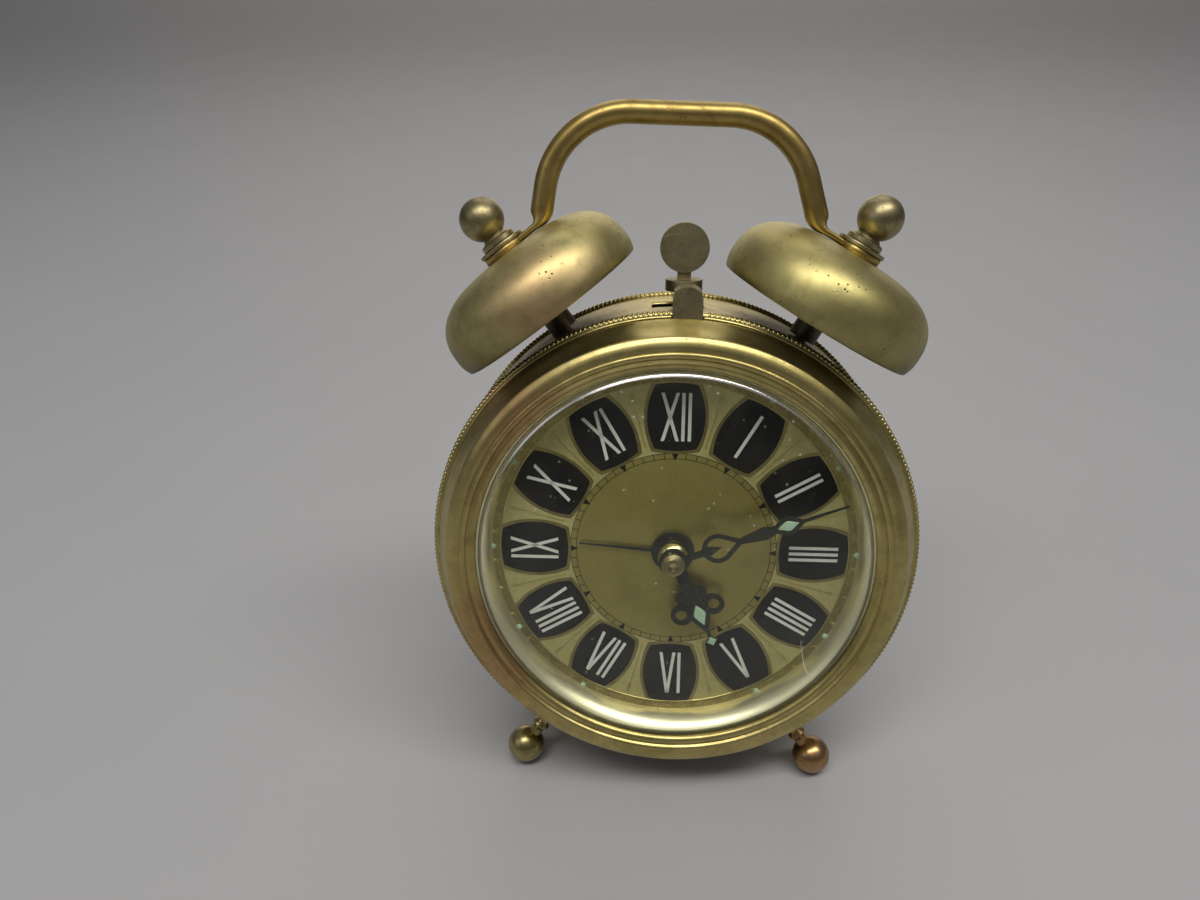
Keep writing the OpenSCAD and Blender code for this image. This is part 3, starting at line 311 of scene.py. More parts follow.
def aged_metal(name, light, mid, dark, rough=(0.22, 0.42), patch=45.0, tarnish=0.45, pits=0.5, grain=0.35,
               seed=0.0, warm=None, under=0.0):
    """Worn metal: broad patina, tarnish in spots, small dark pits, hairlines and a fine grain; with under, painted
    shade on the faces that point down.
    """
    t = Tree(name)
    t.bsdf.inputs["Metallic"].default_value = 1.0
    shift = t.node("Mapping")
    shift.inputs["Location"].default_value = (seed, seed * 0.7, -seed * 1.3)
    t.link(t.coords, shift.inputs["Vector"])
    t.coords = shift.outputs["Vector"]
    broad = t.noise(patch, 3.0, 0.6, distort=0.4)
    fine = t.noise(patch * 9, 4.0, 0.65)
    colour = t.mix(t.ramp(broad, [(0.36, 0.0), (0.66, 1.0)]), mid, light)
    if warm:
        colour = t.mix(t.ramp(t.noise(patch * 0.8, 2.0, 0.5, t.stretched((1, 1, 1), (1.1, 0.4, 2.0))),
                              [(0.55, 0.0), (0.72, 0.7)]), colour, warm)
    spots = t.ramp(t.noise(patch * 4.5, 5.0, 0.7, distort=0.6), [(0.5, 0.0), (0.72, 1.0)])
    colour = t.mix(t.math("MULTIPLY", spots, tarnish), colour, dark)
    colour = t.mix(t.math("MULTIPLY", t.ramp(fine, [(0.45, 0.0), (0.7, 1.0)]), 0.28), colour, dark)
    # Painted shade: the colour goes towards dark where the normal points down, mixed with the broad patina noise,
    # standing in for the shade under the parts.
    if under:
        facing = t.node("SeparateXYZ")
        t.link(t.node("NewGeometry").outputs["Normal"], facing.inputs[0])
        below = t.math("ADD", t.math("MULTIPLY", facing.outputs["Z"], -0.7), t.math("MULTIPLY", broad, 0.5))
        colour = t.mix(t.math("MULTIPLY", t.ramp(below, [(0.05, 0.0), (0.75, 1.0)]), under), colour, dark)
    pit_where = t.ramp(t.noise(200.0, 2.0, 0.5), [(0.49, 0.0), (0.62, 1.0)])
    pit = t.math("MULTIPLY", t.ramp(t.cells(1150.0), [(0.08, 1.0), (0.2, 0.0)]), pit_where)
    colour = t.mix(t.math("MULTIPLY", pit, pits), colour, tuple(c * 0.25 for c in dark))
    low, high = rough
    roughness = t.math("ADD", t.math("MULTIPLY", broad, (high - low) * 0.6), low)
    roughness = t.math("ADD", roughness, t.math("MULTIPLY", spots, (high - low) * 0.7))
    roughness = t.math("ADD", roughness, t.math("MULTIPLY", pit, 0.2), clamp=True)
    normal = t.bump(t.noise(5200.0, 2.0, 0.6), 0.00001, grain)
    normal = t.bump(t.noise(900.0, 2.0, 0.6), 0.00001, grain * 0.9, normal)
    normal = t.bump(t.noise(420.0, 3.0, 0.55), 0.00003, grain * 0.5, normal)
    normal = t.bump(t.math("SUBTRACT", 1.0, pit), 0.00004, pits, normal)
    return t.finish(colour, roughness, normal)


def flat_finish(name, base, other, rough, scale, bump=0.2, metallic=0.0, coat=0.0, speck=0.0, gloss=0.5):
    """Paint, print or lacquer: two close tones, uneven gloss, fine dust and a soft bump."""
    t = Tree(name)
    t.bsdf.inputs["Specular IOR Level"].default_value = gloss
    t.bsdf.inputs["Metallic"].default_value = metallic
    t.bsdf.inputs["Coat Weight"].default_value = coat
    t.bsdf.inputs["Coat Roughness"].default_value = 0.12
    broad = t.noise(scale, 4.0, 0.6)
    colour = t.mix(t.ramp(broad, [(0.35, 0.0), (0.7, 1.0)]), base, other)
    if speck:
        dust = t.specks(1400.0, 0.05, 0.11, 320.0)
        colour = t.mix(t.math("MULTIPLY", dust, speck), colour, (0.75, 0.72, 0.62))
    roughness = t.math("ADD", t.math("MULTIPLY", t.noise(scale * 5, 3.0), 0.16), rough - 0.08, clamp=True)
    return t.finish(colour, roughness, t.bump(t.noise(scale * 14, 2.0), 0.00001, bump))


def brushed(name, light, dark, rough, along, metallic=0.9, grain=0.5):
    """Sheet brushed in one direction, with soft cloudy tone."""
    t = Tree(name)
    t.bsdf.inputs["Metallic"].default_value = metallic
    lines = t.noise(1280.0, 3.0, 0.7, t.stretched(along))
    cloud = t.noise(90.0, 3.0, 0.6)
    fac = t.math("ADD", t.math("MULTIPLY", lines, 0.45), t.math("MULTIPLY", cloud, 0.55))
    colour = t.mix(t.ramp(fac, [(0.34, 0.0), (0.64, 1.0)]), dark, light)
    dust = t.specks(1300.0, 0.04, 0.1, 300.0, 0.56)
    colour = t.mix(t.math("MULTIPLY", dust, 0.55), colour, (0.8, 0.74, 0.5))
    roughness = t.math("ADD", t.math("MULTIPLY", lines, 0.22), rough - 0.11, clamp=True)
    return t.finish(colour, roughness, t.bump(lines, 0.00001, grain))


MAT = {
    "case_brass": aged_metal("case_brass", (0.56, 0.465, 0.19), (0.42, 0.345, 0.125), (0.14, 0.115, 0.045),
                             rough=(0.29, 0.45), tarnish=0.4, pits=0.4, grain=0.3, warm=(0.42, 0.24, 0.11)),
    # The bell brass carries painted shade on its downward faces (under=0.95).
    "bell_brass": aged_metal("bell_brass", (0.54, 0.47, 0.21), (0.40, 0.345, 0.135), (0.14, 0.12, 0.045),
                             rough=(0.40, 0.54), tarnish=0.3, pits=0.9, grain=0.4, seed=0.31, under=0.95,
                             warm=(0.56, 0.34, 0.20)),
    "handle_brass": aged_metal("handle_brass", (0.47, 0.345, 0.12), (0.35, 0.25, 0.075), (0.14, 0.09, 0.03),
                               rough=(0.32, 0.48), patch=70, tarnish=0.6, pits=0.6, grain=0.4, seed=0.8),
    "fitting_brass": aged_metal("fitting_brass", (0.40, 0.34, 0.185), (0.27, 0.23, 0.115),
                                (0.09, 0.075, 0.04), rough=(0.34, 0.50), patch=120, tarnish=0.5, pits=0.5,
                                grain=0.45, seed=1.7),
    "bright_brass": aged_metal("bright_brass", (0.72, 0.62, 0.31), (0.58, 0.48, 0.21), (0.24, 0.19, 0.08),
                               rough=(0.18, 0.34), patch=90, tarnish=0.3, pits=0.3, grain=0.2, seed=2.2),
    "tarnished_brass": aged_metal("tarnished_brass", (0.32, 0.28, 0.16), (0.23, 0.20, 0.11),
                                  (0.06, 0.052, 0.03), rough=(0.42, 0.62), patch=150, tarnish=0.5, pits=0.4,
                                  grain=0.6, seed=3.1),
    "movement_brass": aged_metal("movement_brass", (0.70, 0.58, 0.28), (0.58, 0.46, 0.2), (0.3, 0.22, 0.09),
                                 rough=(0.25, 0.4), patch=60, tarnish=0.2, pits=0.2, grain=0.3, seed=4.0),
    "steel": aged_metal("steel", (0.55, 0.55, 0.55), (0.42, 0.42, 0.42), (0.16, 0.14, 0.12),
                        rough=(0.25, 0.42), patch=110, tarnish=0.3, pits=0.3, grain=0.4, seed=5.5),
    "dark_steel": aged_metal("dark_steel", (0.10, 0.085, 0.07), (0.065, 0.055, 0.045), (0.03, 0.025, 0.02),
                             rough=(0.35, 0.55), patch=140, tarnish=0.4, pits=0.3, grain=0.5, seed=6.4),
    "spring_steel": aged_metal("spring_steel", (0.28, 0.32, 0.42), (0.2, 0.23, 0.32), (0.08, 0.08, 0.1),
                               rough=(0.2, 0.36), patch=110, tarnish=0.2, pits=0.2, grain=0.3, seed=7.3),
    "hand_black": flat_finish("hand_black", (0.012, 0.014, 0.010), (0.03, 0.03, 0.02), 0.38, 300.0,
                              coat=0.15, gloss=0.35),
    "dial_gold": brushed("dial_gold", (0.46, 0.44, 0.19), (0.36, 0.34, 0.13), 0.42, (1, 1, 1)),
}


def crystal_glass(name, mirror, most, blur=0.02):
    """Thin clear pane: what it mirrors grows towards the edge, with dust and smears on it."""
    t = Tree(name)
    t.nt.nodes.remove(t.bsdf)
    clear = t.node("BsdfTransparent")
    clear.inputs["Color"].default_value = (0.965, 0.975, 0.955, 1)
    shine = t.node("BsdfGlossy")
    rough = t.math("ADD", t.math("MULTIPLY", t.noise(130.0, 4.0, 0.65), 0.10), blur)
    t.link(rough, shine.inputs["Roughness"])
    t.link(t.bump(t.noise(60.0, 2.0), 0.00002, 0.2), shine.inputs["Normal"])
    fresnel = t.node("Fresnel", IOR=1.45)
    pane = t.node("MixShader")
    t.link(t.math("MINIMUM", t.math("MULTIPLY", fresnel.outputs[0], mirror), most), pane.inputs[0])
    t.link(clear.outputs[0], pane.inputs[1])
    t.link(shine.outputs[0], pane.inputs[2])
    dust = t.node("BsdfDiffuse", Color=(0.72, 0.70, 0.60, 1))
    specks = t.specks(420.0, 0.05, 0.1, 110.0, 0.5, 3.0)
    haze = t.math("MULTIPLY", t.ramp(t.noise(75.0, 4.0, 0.65), [(0.42, 0.0), (0.75, 1.0)]), 0.01)
    worn = t.node("MixShader")
    t.link(t.math("ADD", t.math("MULTIPLY", specks, 0.5), haze, clamp=True), worn.inputs[0])
    t.link(pane.outputs[0], worn.inputs[1])
    t.link(dust.outputs[0], worn.inputs[2])
    t.link(worn.outputs[0], t.out.inputs["Surface"])
    return t.mat


MAT["crystal_glass"] = crystal_glass("crystal_glass", 0.7, 0.06)
CHAMFER = crystal_glass("crystal_chamfer", 16.0, 0.75, 0.16)
PANEL = brushed("dial_panel", (0.62, 0.555, 0.235), (0.43, 0.37, 0.135), 0.45, (1, 1, 1),
                metallic=0.45, grain=0.3)
DISC = brushed("dial_disc", (0.46, 0.385, 0.115), (0.30, 0.24, 0.07), 0.38, (9, 1, 1),
               metallic=0.75, grain=0.6)
RING_GOLD = aged_metal("dial_ring_gold", (0.46, 0.38, 0.14), (0.34, 0.28, 0.10), (0.15, 0.12, 0.05),
                       rough=(0.3, 0.45), patch=200, tarnish=0.4, pits=0.2, grain=0.6, seed=8.0)
LINE_GOLD = aged_metal("dial_line_gold", (0.62, 0.54, 0.20), (0.50, 0.42, 0.15), (0.25, 0.2, 0.08),
                       rough=(0.25, 0.4), patch=200, tarnish=0.2, pits=0.1, grain=0.3, seed=8.5)
OUTLINE = aged_metal("dial_outline", (0.40, 0.33, 0.12), (0.30, 0.24, 0.09), (0.14, 0.11, 0.05),
                     rough=(0.3, 0.45), patch=200, tarnish=0.2, pits=0.1, grain=0.3, seed=9.0)
BLACK = flat_finish("dial_black", (0.008, 0.007, 0.006), (0.016, 0.014, 0.011), 0.5, 260.0,
                    speck=0.5, gloss=0.12)
WHITE = flat_finish("numeral_white", (0.80, 0.80, 0.76), (0.70, 0.70, 0.66), 0.5, 500.0)
LUME = flat_finish("lume", (0.48, 0.66, 0.48), (0.36, 0.55, 0.38), 0.7, 900.0, bump=0.6)
COPPER = aged_metal("coppery_brass", (0.46, 0.29, 0.14), (0.34, 0.20, 0.09), (0.12, 0.07, 0.035),
                    rough=(0.24, 0.4), patch=110, tarnish=0.4, pits=0.4, grain=0.3, seed=10.0)
FOOT_BRASS = aged_metal("foot_brass", (0.48, 0.41, 0.19), (0.35, 0.295, 0.125), (0.12, 0.10, 0.05),
                        rough=(0.24, 0.4), patch=110, tarnish=0.45, pits=0.4, grain=0.3, seed=11.0)
COVE = flat_finish("reflector_satin", (0.97, 0.92, 0.66), (0.90, 0.84, 0.56), 0.36, 90.0, metallic=0.88)
SCRATCH = flat_finish("crystal_scratch", (0.85, 0.8, 0.7), (0.7, 0.66, 0.55), 0.6, 900.0)

for part in frame["record"]["subparts"]:
    node = frame["nodes"][part["node"]]
    node.data.materials.clear()
    node.data.materials.append(MAT[part["material_slot"]])


# ------------------------------------------------------------ the case
def from_twelve(x, y):
    """Angle of a place on the dial, clockwise from twelve, in degrees."""
    return math.degrees(math.atan2(x, y))


def span(low, high, r):
    """Angles from twelve of two places, given across, on a circle of radius r."""
    return math.degrees(math.asin(low / r)), math.degrees(math.asin(high / r))


def drum():
    """Smooth drum with the hammer's slot and the button's notch cut out of its sheet."""
    notch = span(BUTTON_X - BUTTON_HALF, BUTTON_X + BUTTON_HALF, DRUM_R)
    slot = span(-SLOT_HALF, SLOT_HALF, DRUM_R)
    angles = sorted(set([float(i) for i in range(-180, 180)] + [round(v, 4) for v in notch + slot]))
    levels = [DRUM_FRONT, 0.0, -1.5, BUTTON_BACK, -5, SLOT_FRONT, -9, SLOT_BACK, -14, -17, REAR_RIM,
              DRUM_BACK]
    verts, faces = [], []
    for z in levels:
        for a in angles:
            verts.append((DRUM_R * math.sin(math.radians(a)), DRUM_R * math.cos(math.radians(a)), z))
    n = len(angles)
    for k in range(len(levels) - 1):
        mid_z = (levels[k] + levels[k + 1]) / 2
        for i in range(n):
            mid = angles[i] + 0.01
            if notch[0] <= mid < notch[1] and mid_z > BUTTON_BACK:
                continue
            if slot[0] <= mid < slot[1] and SLOT_BACK < mid_z < SLOT_FRONT:
                continue
            j = (i + 1) % n
            faces.append([k * n + i, k * n + j, (k + 1) * n + j, (k + 1) * n + i])
    obj = piece("drum_shell", verts, faces, "case", MAT["case_brass"], sharp=40)
    wall = obj.modifiers.new("wall", "SOLIDIFY")
    wall.thickness = DRUM_WALL / 1000
    wall.offset = -1
    wall.use_even_offset = True
    return obj


def bead_ring(name, z, skip=None):
    """Milled rim: small beads side by side on a low half-round band, with a gap where skip says."""
    steps = 240
    ball = lathe([(math.sin(math.pi * k / 5), -math.cos(math.pi * k / 5)) for k in range(6)], 8, closed=False)
    along, out, deep = BEAD_HALF
    shape = Matrix(((along, 0, 0, 0), (0, 0, out, 0), (0, -deep, 0, 0), (0, 0, 0, 1)))
    beads = []
    for i in range(BEAD_COUNT):
        a = 360 * i / BEAD_COUNT
        if skip and skip[0] < (a + 180) % 360 - 180 < skip[1]:
            continue
        beads.append((*ball, turned(a) @ Matrix.Translation((0, DRUM_R + 0.16, z)) @ shape))
    bead_obj = piece(name, *gather(beads), "case", MAT["case_brass"], sharp=80)
    band = arc(DRUM_R, z, BAND_R, -85, 85, 8)
    verts, faces = lathe(band, steps)
    if skip:
        cut = [skip[0] < from_twelve(x, y) < skip[1] for x, y, _ in verts]
        gap = [i for i in range(steps) if cut[i]]
        faces = [f for f in faces if not all(cut[v] for v in f)]
        faces.append([k * steps + gap[0] for k in range(len(band))])
        faces.append([k * steps + gap[-1] for k in reversed(range(len(band)))])
    return bead_obj, piece(name + "_band", verts, faces, "case", MAT["case_brass"], sharp=80)


drum_obj = drum()
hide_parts("case_drum")
for o in bead_ring("front_beads", 0.0, NOTCH_SPAN) + bead_ring("rear_beads", REAR_RIM):
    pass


def bezel():
    """Rolled rim: a lip at the glass, two small ribs, and a long slope down to the beads."""
    outer = smooth_line([(WINDOW_R, 5.02), (29.05, 5.34), (29.5, 5.50), (29.95, 5.38), (30.2, 5.30)], 4)
    outer += smooth_line([(30.26, 5.36), (30.45, 5.56), (30.75, 5.65), (31.05, 5.56), (31.2, 5.38)], 4)
    outer += smooth_line([(31.3, 5.36), (31.9, 5.36), (32.5, 5.18), (33.0, 4.88)], 4)
    outer += smooth_line([(33.12, 4.80), (33.28, 4.60), (33.38, 4.3), (33.6, 3.7), (34.05, 2.75),
                          (34.5, 1.95), (34.85, 1.3), (34.95, 0.95)], 4)
    inner = [(34.45, 0.95), (34.45, -0.5), (33.95, -0.5), (33.95, 1.3), (33.55, 2.3), (33.0, 3.4),
             (32.4, 4.3), (31.2, 4.8), (29.9, 4.75), (WINDOW_R, 4.55)]
    verts, faces = lathe(outer + inner, 360)
    notch, lift = span(BUTTON_X - BUTTON_HALF, BUTTON_X + BUTTON_HALF, 34.2), 0.94
    verts = [(x, y, max(z, lift) if notch[0] < from_twelve(x, y) < notch[1] else z) for x, y, z in verts]
    return piece("bezel_ring", verts, faces, "case", MAT["case_brass"], sharp=28)


bezel_obj = bezel()
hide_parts("bezel")


def dome_line(r, reach, order):
    """Points of the crystal's curve of radius r, out to the given reach."""
    steps = 44
    return [(r * math.sin(a), CRYSTAL_TOP - DOME_R + r * math.cos(a))
            for a in [math.asin(reach / r) * i / steps for i in order(range(steps + 1))]]


def crystal():
    """Domed glass with a chamfer round it, and a flange that the bezel holds."""
    top = dome_line(DOME_R, CRYSTAL_R - 0.85, list)
    edge = smooth_line([top[-1], (27.86, 4.99), (28.02, 4.9), (28.28, 4.68), (28.5, 4.46), (28.57, 4.3),
                        (28.59, 4.0)], 3)[1:]
    edge += [(CRYSTAL_R, 3.8), (29.7, 3.8), (29.7, 3.75)]
    under = [(27.6, 3.75)] + dome_line(DOME_R - CRYSTAL_T, CRYSTAL_R - 2.1, reversed)
    steps = 192
    verts, faces = lathe(top + edge + under, steps, closed=False)
    obj = piece("crystal_dome", verts, faces, "case", MAT["crystal_glass"], sharp=50)
    obj.data.materials.append(CHAMFER)
    chamfer_start, chamfer_end = steps * (len(top) - 1), steps * (len(top) + len(edge) - 5)
    for p in obj.data.polygons[chamfer_start:chamfer_end]:
        p.material_index = 1
    return obj


crystal_obj = crystal()
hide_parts("crystal")


def reflector():
    """Bright ring that curves up from the dial's edge to the crystal."""
    face = smooth_line([(27.1, 0.06), (27.2, 1.0), (27.45, 1.9), (27.85, 2.6), (28.4, 3.2), (29.0, 3.64)], 5)
    verts, faces = lathe(face + [(29.55, 3.65), (28.9, 1.2), (28.3, 0.06)], 240)
    return piece("reflector_cove", verts, faces, "case", COVE, sharp=50)


reflector_obj = reflector()
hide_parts("reflector_ring")


# ------------------------------------------------------------ feet, bells, finials, handle
def sphere_line(r, middle, neck_r, steps):
    """Profile of a ball from where its neck meets it to its far end."""
    start = math.degrees(math.asin(neck_r / r))
    angles = [math.radians(start + (180 - start) * i / steps) for i in range(steps)]
    return [(r * math.sin(a), middle - r * math.cos(a)) for a in angles] + [(0, middle + r)]


def foot(side):
    """Turned foot: a collar at the drum, a waisted neck and a ball."""
    neck = FOOT_REACH - FOOT_R
    line = [(1.5, DRUM_R + 0.05), (1.52, DRUM_R + 0.35), (1.2, DRUM_R + 0.75), (0.92, DRUM_R + 1.1),
            (0.88, DRUM_R + 2.1), (1.1, DRUM_R + 2.5), (1.35, DRUM_R + 2.85), (1.35, DRUM_R + 3.1),
            (1.1, DRUM_R + 3.45), (0.95, neck - 0.85)]
    profile = [(0, DRUM_R - 0.4), (1.2, DRUM_R - 0.3)] + smooth_line(line, 4)
    profile += sphere_line(FOOT_R, FOOT_REACH, 0.98, 28)
    return piece("foot_%s_turned" % SIDE[side], *lathe(profile, 64, closed=False), "case",
                 FOOT_BRASS if side < 0 else COPPER, foot_frame(side), sharp=60)


def bell_line(r, h, steps):
    """Rounded shoulder of a bell, from the skirt to the crown."""
    return [(r * max(0.0, math.cos(math.pi / 2 * i / steps)) ** 0.62,
             h * math.sin(math.pi / 2 * i / steps) ** 0.8) for i in range(steps + 1)]


def bell(side):
    """Thin cup with a rolled-in rim, mouth down."""
    inner_r, inner_h = BELL_R - BELL_WALL, BELL_H - BELL_WALL
    out = [(BELL_R - RIM_IN - 0.12, 0.0), (BELL_R - RIM_IN, 0.12)]
    out += [(BELL_R - RIM_IN * (1 - k / 5) ** 2, 0.12 + (SKIRT - 0.12) * k / 5) for k in range(1, 5)]
    out += [(r, h + SKIRT) for r, h in bell_line(BELL_R, BELL_H - SKIRT, 56)]
    out[-1] = (0, BELL_H)
    inner = [(r, h + SKIRT) for r, h in reversed(bell_line(inner_r, inner_h - SKIRT, 40))]
    inner[0] = (0, inner_h)
    inner += [(inner_r - RIM_IN, 0.0)]
    where = bell_frame(side) @ Matrix.Translation((0, 0, RIM_GAP))
    return piece("bell_%s_cup" % SIDE[side], *lathe(out + inner, 144), "case", MAT["bell_brass"],
                 where, sharp=50)


def finial(side):
    """Nut, stepped neck and ball, turned in one."""
    base = CROWN + TAB_T + WASHER_T + 0.04
    neck_r = 1.6
    line = [(0, base), (NUT_R - 0.15, base), (NUT_R, base + 0.15), (NUT_R, base + 0.72),
            (NUT_R - 0.2, base + 0.92), (2.1, base + 1.0), (1.95, base + 1.2), (1.75, base + 1.45),
            (neck_r, base + 1.7)]
    line += sphere_line(FINIAL_R, CROWN + FINIAL_RISE, neck_r, 30)
    return piece("finial_%s_turned" % SIDE[side], *lathe(line, 64, closed=False), "case",
                 MAT["fitting_brass"], bell_frame(side), sharp=40)


for side in SIDE:
    for build, node, slot in ((foot, "foot_", "bright_brass"), (bell, "bell_", "bell_brass"),
                              (finial, "finial_", "fitting_brass")):
        o = build(side)
        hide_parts(node + SIDE[side])


def handle_line():
    """Middle line of the wire, seen from the front, from tab to tab."""
    ends = []
    for side in SIDE:
        post, tilt = math.radians(POST_AT[side]), math.radians(TILT[side])
        out = Vector((side * math.sin(tilt), math.cos(tilt)))
        inward = Vector((out.y, -out.x)) * -side
        tab = Vector((side * DRUM_R * math.sin(post), DRUM_R * math.cos(post)))
        tab += out * (CROWN + TAB_T / 2 + 0.01)
        ends.append((tab + inward * TAB_START, tab + inward * TAB_REACH))
    corners = [*ends[0], Vector((HANDLE_LEFT, HANDLE_TOP + BAR_DROP / 2)),
               Vector((HANDLE_RIGHT, HANDLE_TOP - BAR_DROP / 2)), *reversed(ends[1])]
    line = [corners[0].lerp(corners[1], k / 6) for k in range(5)]
    steps = 24
    for i, bend in ((1, TAB_BEND), (2, HANDLE_BEND), (3, HANDLE_BEND), (4, TAB_BEND)):
        before, corner, after = corners[i - 1:i + 2]
        u, v = (before - corner).normalized(), (after - corner).normalized()
        half = u.angle(v) / 2
        middle = corner + (u + v).normalized() * (bend / math.sin(half))
        arm = corner + u * (bend / math.tan(half)) - middle
        sweep = (math.pi - 2 * half) * (-1 if u.cross(v) > 0 else 1)
        turn = [middle + Matrix.Rotation(sweep * k / steps, 2) @ arm for k in range(steps + 1)]
        if i > 1:
            line += [line[-1].lerp(turn[0], k / 10) for k in range(1, 10)]
        line += turn
    return line + [corners[5].lerp(corners[4], k / 6) for k in range(4, -1, -1)]


def handle():
    """One wire: flattened on the crowns, round along the legs and the bar."""
    line = handle_line()
    run = [0.0]
    for a, b in zip(line, line[1:]):
        run.append(run[-1] + (b - a).length)
    sides, n = 32, len(line)
    verts = []
    for i, p in enumerate(line):
        ahead = (line[min(i + 1, n - 1)] - line[max(i - 1, 0)]).normalized()
        k = min(1.0, max(0.0, (min(run[i], run[-1] - run[i]) - TAB_FLAT) / TAB_CHANGE))
        roundness = k * k * (3 - 2 * k)
        thin = (TAB_T + (WIRE_D - TAB_T) * roundness) / 2
        wide = (TAB_WIDE + (WIRE_D - TAB_WIDE) * roundness) / 2
        power = 1 - 0.45 * (1 - roundness)
        for j in range(sides):
            b = 2 * math.pi * j / sides
            over, deep = (math.copysign(abs(c) ** power, c) for c in (math.cos(b), math.sin(b)))
            verts.append((p.x - ahead.y * thin * over, p.y + ahead.x * thin * over, wide * deep - BELL_BACK))
    faces = [list(range(sides)), list(range((n - 1) * sides, n * sides))[::-1]]
    for i in range(n - 1):
        for j in range(sides):
            k = (j + 1) % sides
            faces.append([i * sides + j, (i + 1) * sides + j, (i + 1) * sides + k, i * sides + k])
    tab = lathe([(0, 0), (TAB_R - 0.12, 0), (TAB_R, 0.12), (TAB_R, TAB_T - 0.15), (TAB_R - 0.15, TAB_T),
                 (0, TAB_T)], 72, closed=False)
    parts = [(verts, faces, Matrix.Identity(4))]
    parts += [(*tab, bell_frame(side) @ Matrix.Translation((0, 0, CROWN + 0.01))) for side in SIDE]
    return piece("handle_wire", *gather(parts), "case", MAT["handle_brass"], sharp=45)


handle_obj = handle()
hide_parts("handle")


# ------------------------------------------------------------ dial
def annulus(r0, r1, z0, z1, edge=0.04):
    """Flat ring with its two upper edges broken."""
    return lathe([(r0, z0), (r0, z1 - edge), (r0 + edge, z1), (r1 - edge, z1), (r1, z1 - edge),
                  (r1, z0)], 192)


def cartouche(grow):
    """Barrel outline, long way towards the rim."""
    half_end, half_mid, corner, tip = 3.05 + grow, 4.2 + grow, 4.75 + grow, 5.1 + grow
    pts = []
    for i in range(13):
        s = -1 + 2 * i / 12
        pts.append((half_end * s, corner + (tip - corner) * (1 - s * s)))
    for i in range(1, 16):
        s = 1 - 2 * i / 16
        pts.append((half_end + (half_mid - half_end) * (1 - s * s), corner * s))
    pts += [(-x, -y) for x, y in pts[:]]
    out = []
    for p in pts:
        if not out or math.hypot(p[0] - out[-1][0], p[1] - out[-1][1]) > 1e-3:
            out.append(p)
    return out[::-1]


def stroke(x0, y0, x1, y1):
    """A bar whose ends are cut level."""
    w = STROKE / 2 * math.hypot(x1 - x0, y1 - y0) / abs(y1 - y0)
    return [(x0 - w, y0), (x0 + w, y0), (x1 + w, y1), (x1 - w, y1)]


def numeral(word):
    """Strokes of a Roman number, centred."""
    h = TALL / 2
    x, bars = 0.0, []
    for k, c in enumerate(word):
        if c == "I":
            bars.append(((x, -h), (x, h)))
            step = 0.0
        elif c == "V":
            bars += [((x, h), (x + 1.0, -h)), ((x + 2.0, h), (x + 1.05, -h))]
            step = 2.0
        else:
            bars += [((x, h), (x + 2.15, -h)), ((x + 2.15, h), (x, -h))]
            step = 2.15
        x += step + (0.93 if c == "I" and word[k + 1:k + 2] == "I" else 0.8)
    xs = [p[0] for b in bars for p in b]
    mid = (min(xs) + max(xs)) / 2
    return [stroke(a[0] - mid, a[1], b[0] - mid, b[1]) for a, b in bars]


def curl():
    """Small raised scroll: a spiral strip with a top, two sides and closed ends."""
    outer = [(0.62 * math.cos(t) * (1 - 0.1 * t), 0.36 * math.sin(t) * (1 - 0.1 * t))
             for t in [0.25 * k for k in range(18)]]
    inner = [(x * 0.68, y * 0.62) for x, y in outer]
    low, high, n = 0.02, 0.13, len(outer)
    rows = ((outer, low), (outer, high), (inner, high), (inner, low))
    verts = [(x, y, z) for line, z in rows for x, y in line]
    faces = [[0, n, 2 * n, 3 * n], [4 * n - 1, 3 * n - 1, 2 * n - 1, n - 1]]
    for row in range(4):
        a, b = row * n, (row + 1) % 4 * n
        faces += [[a + k, a + k + 1, b + k + 1, b + k] for k in range(n - 1)]
    return verts, faces


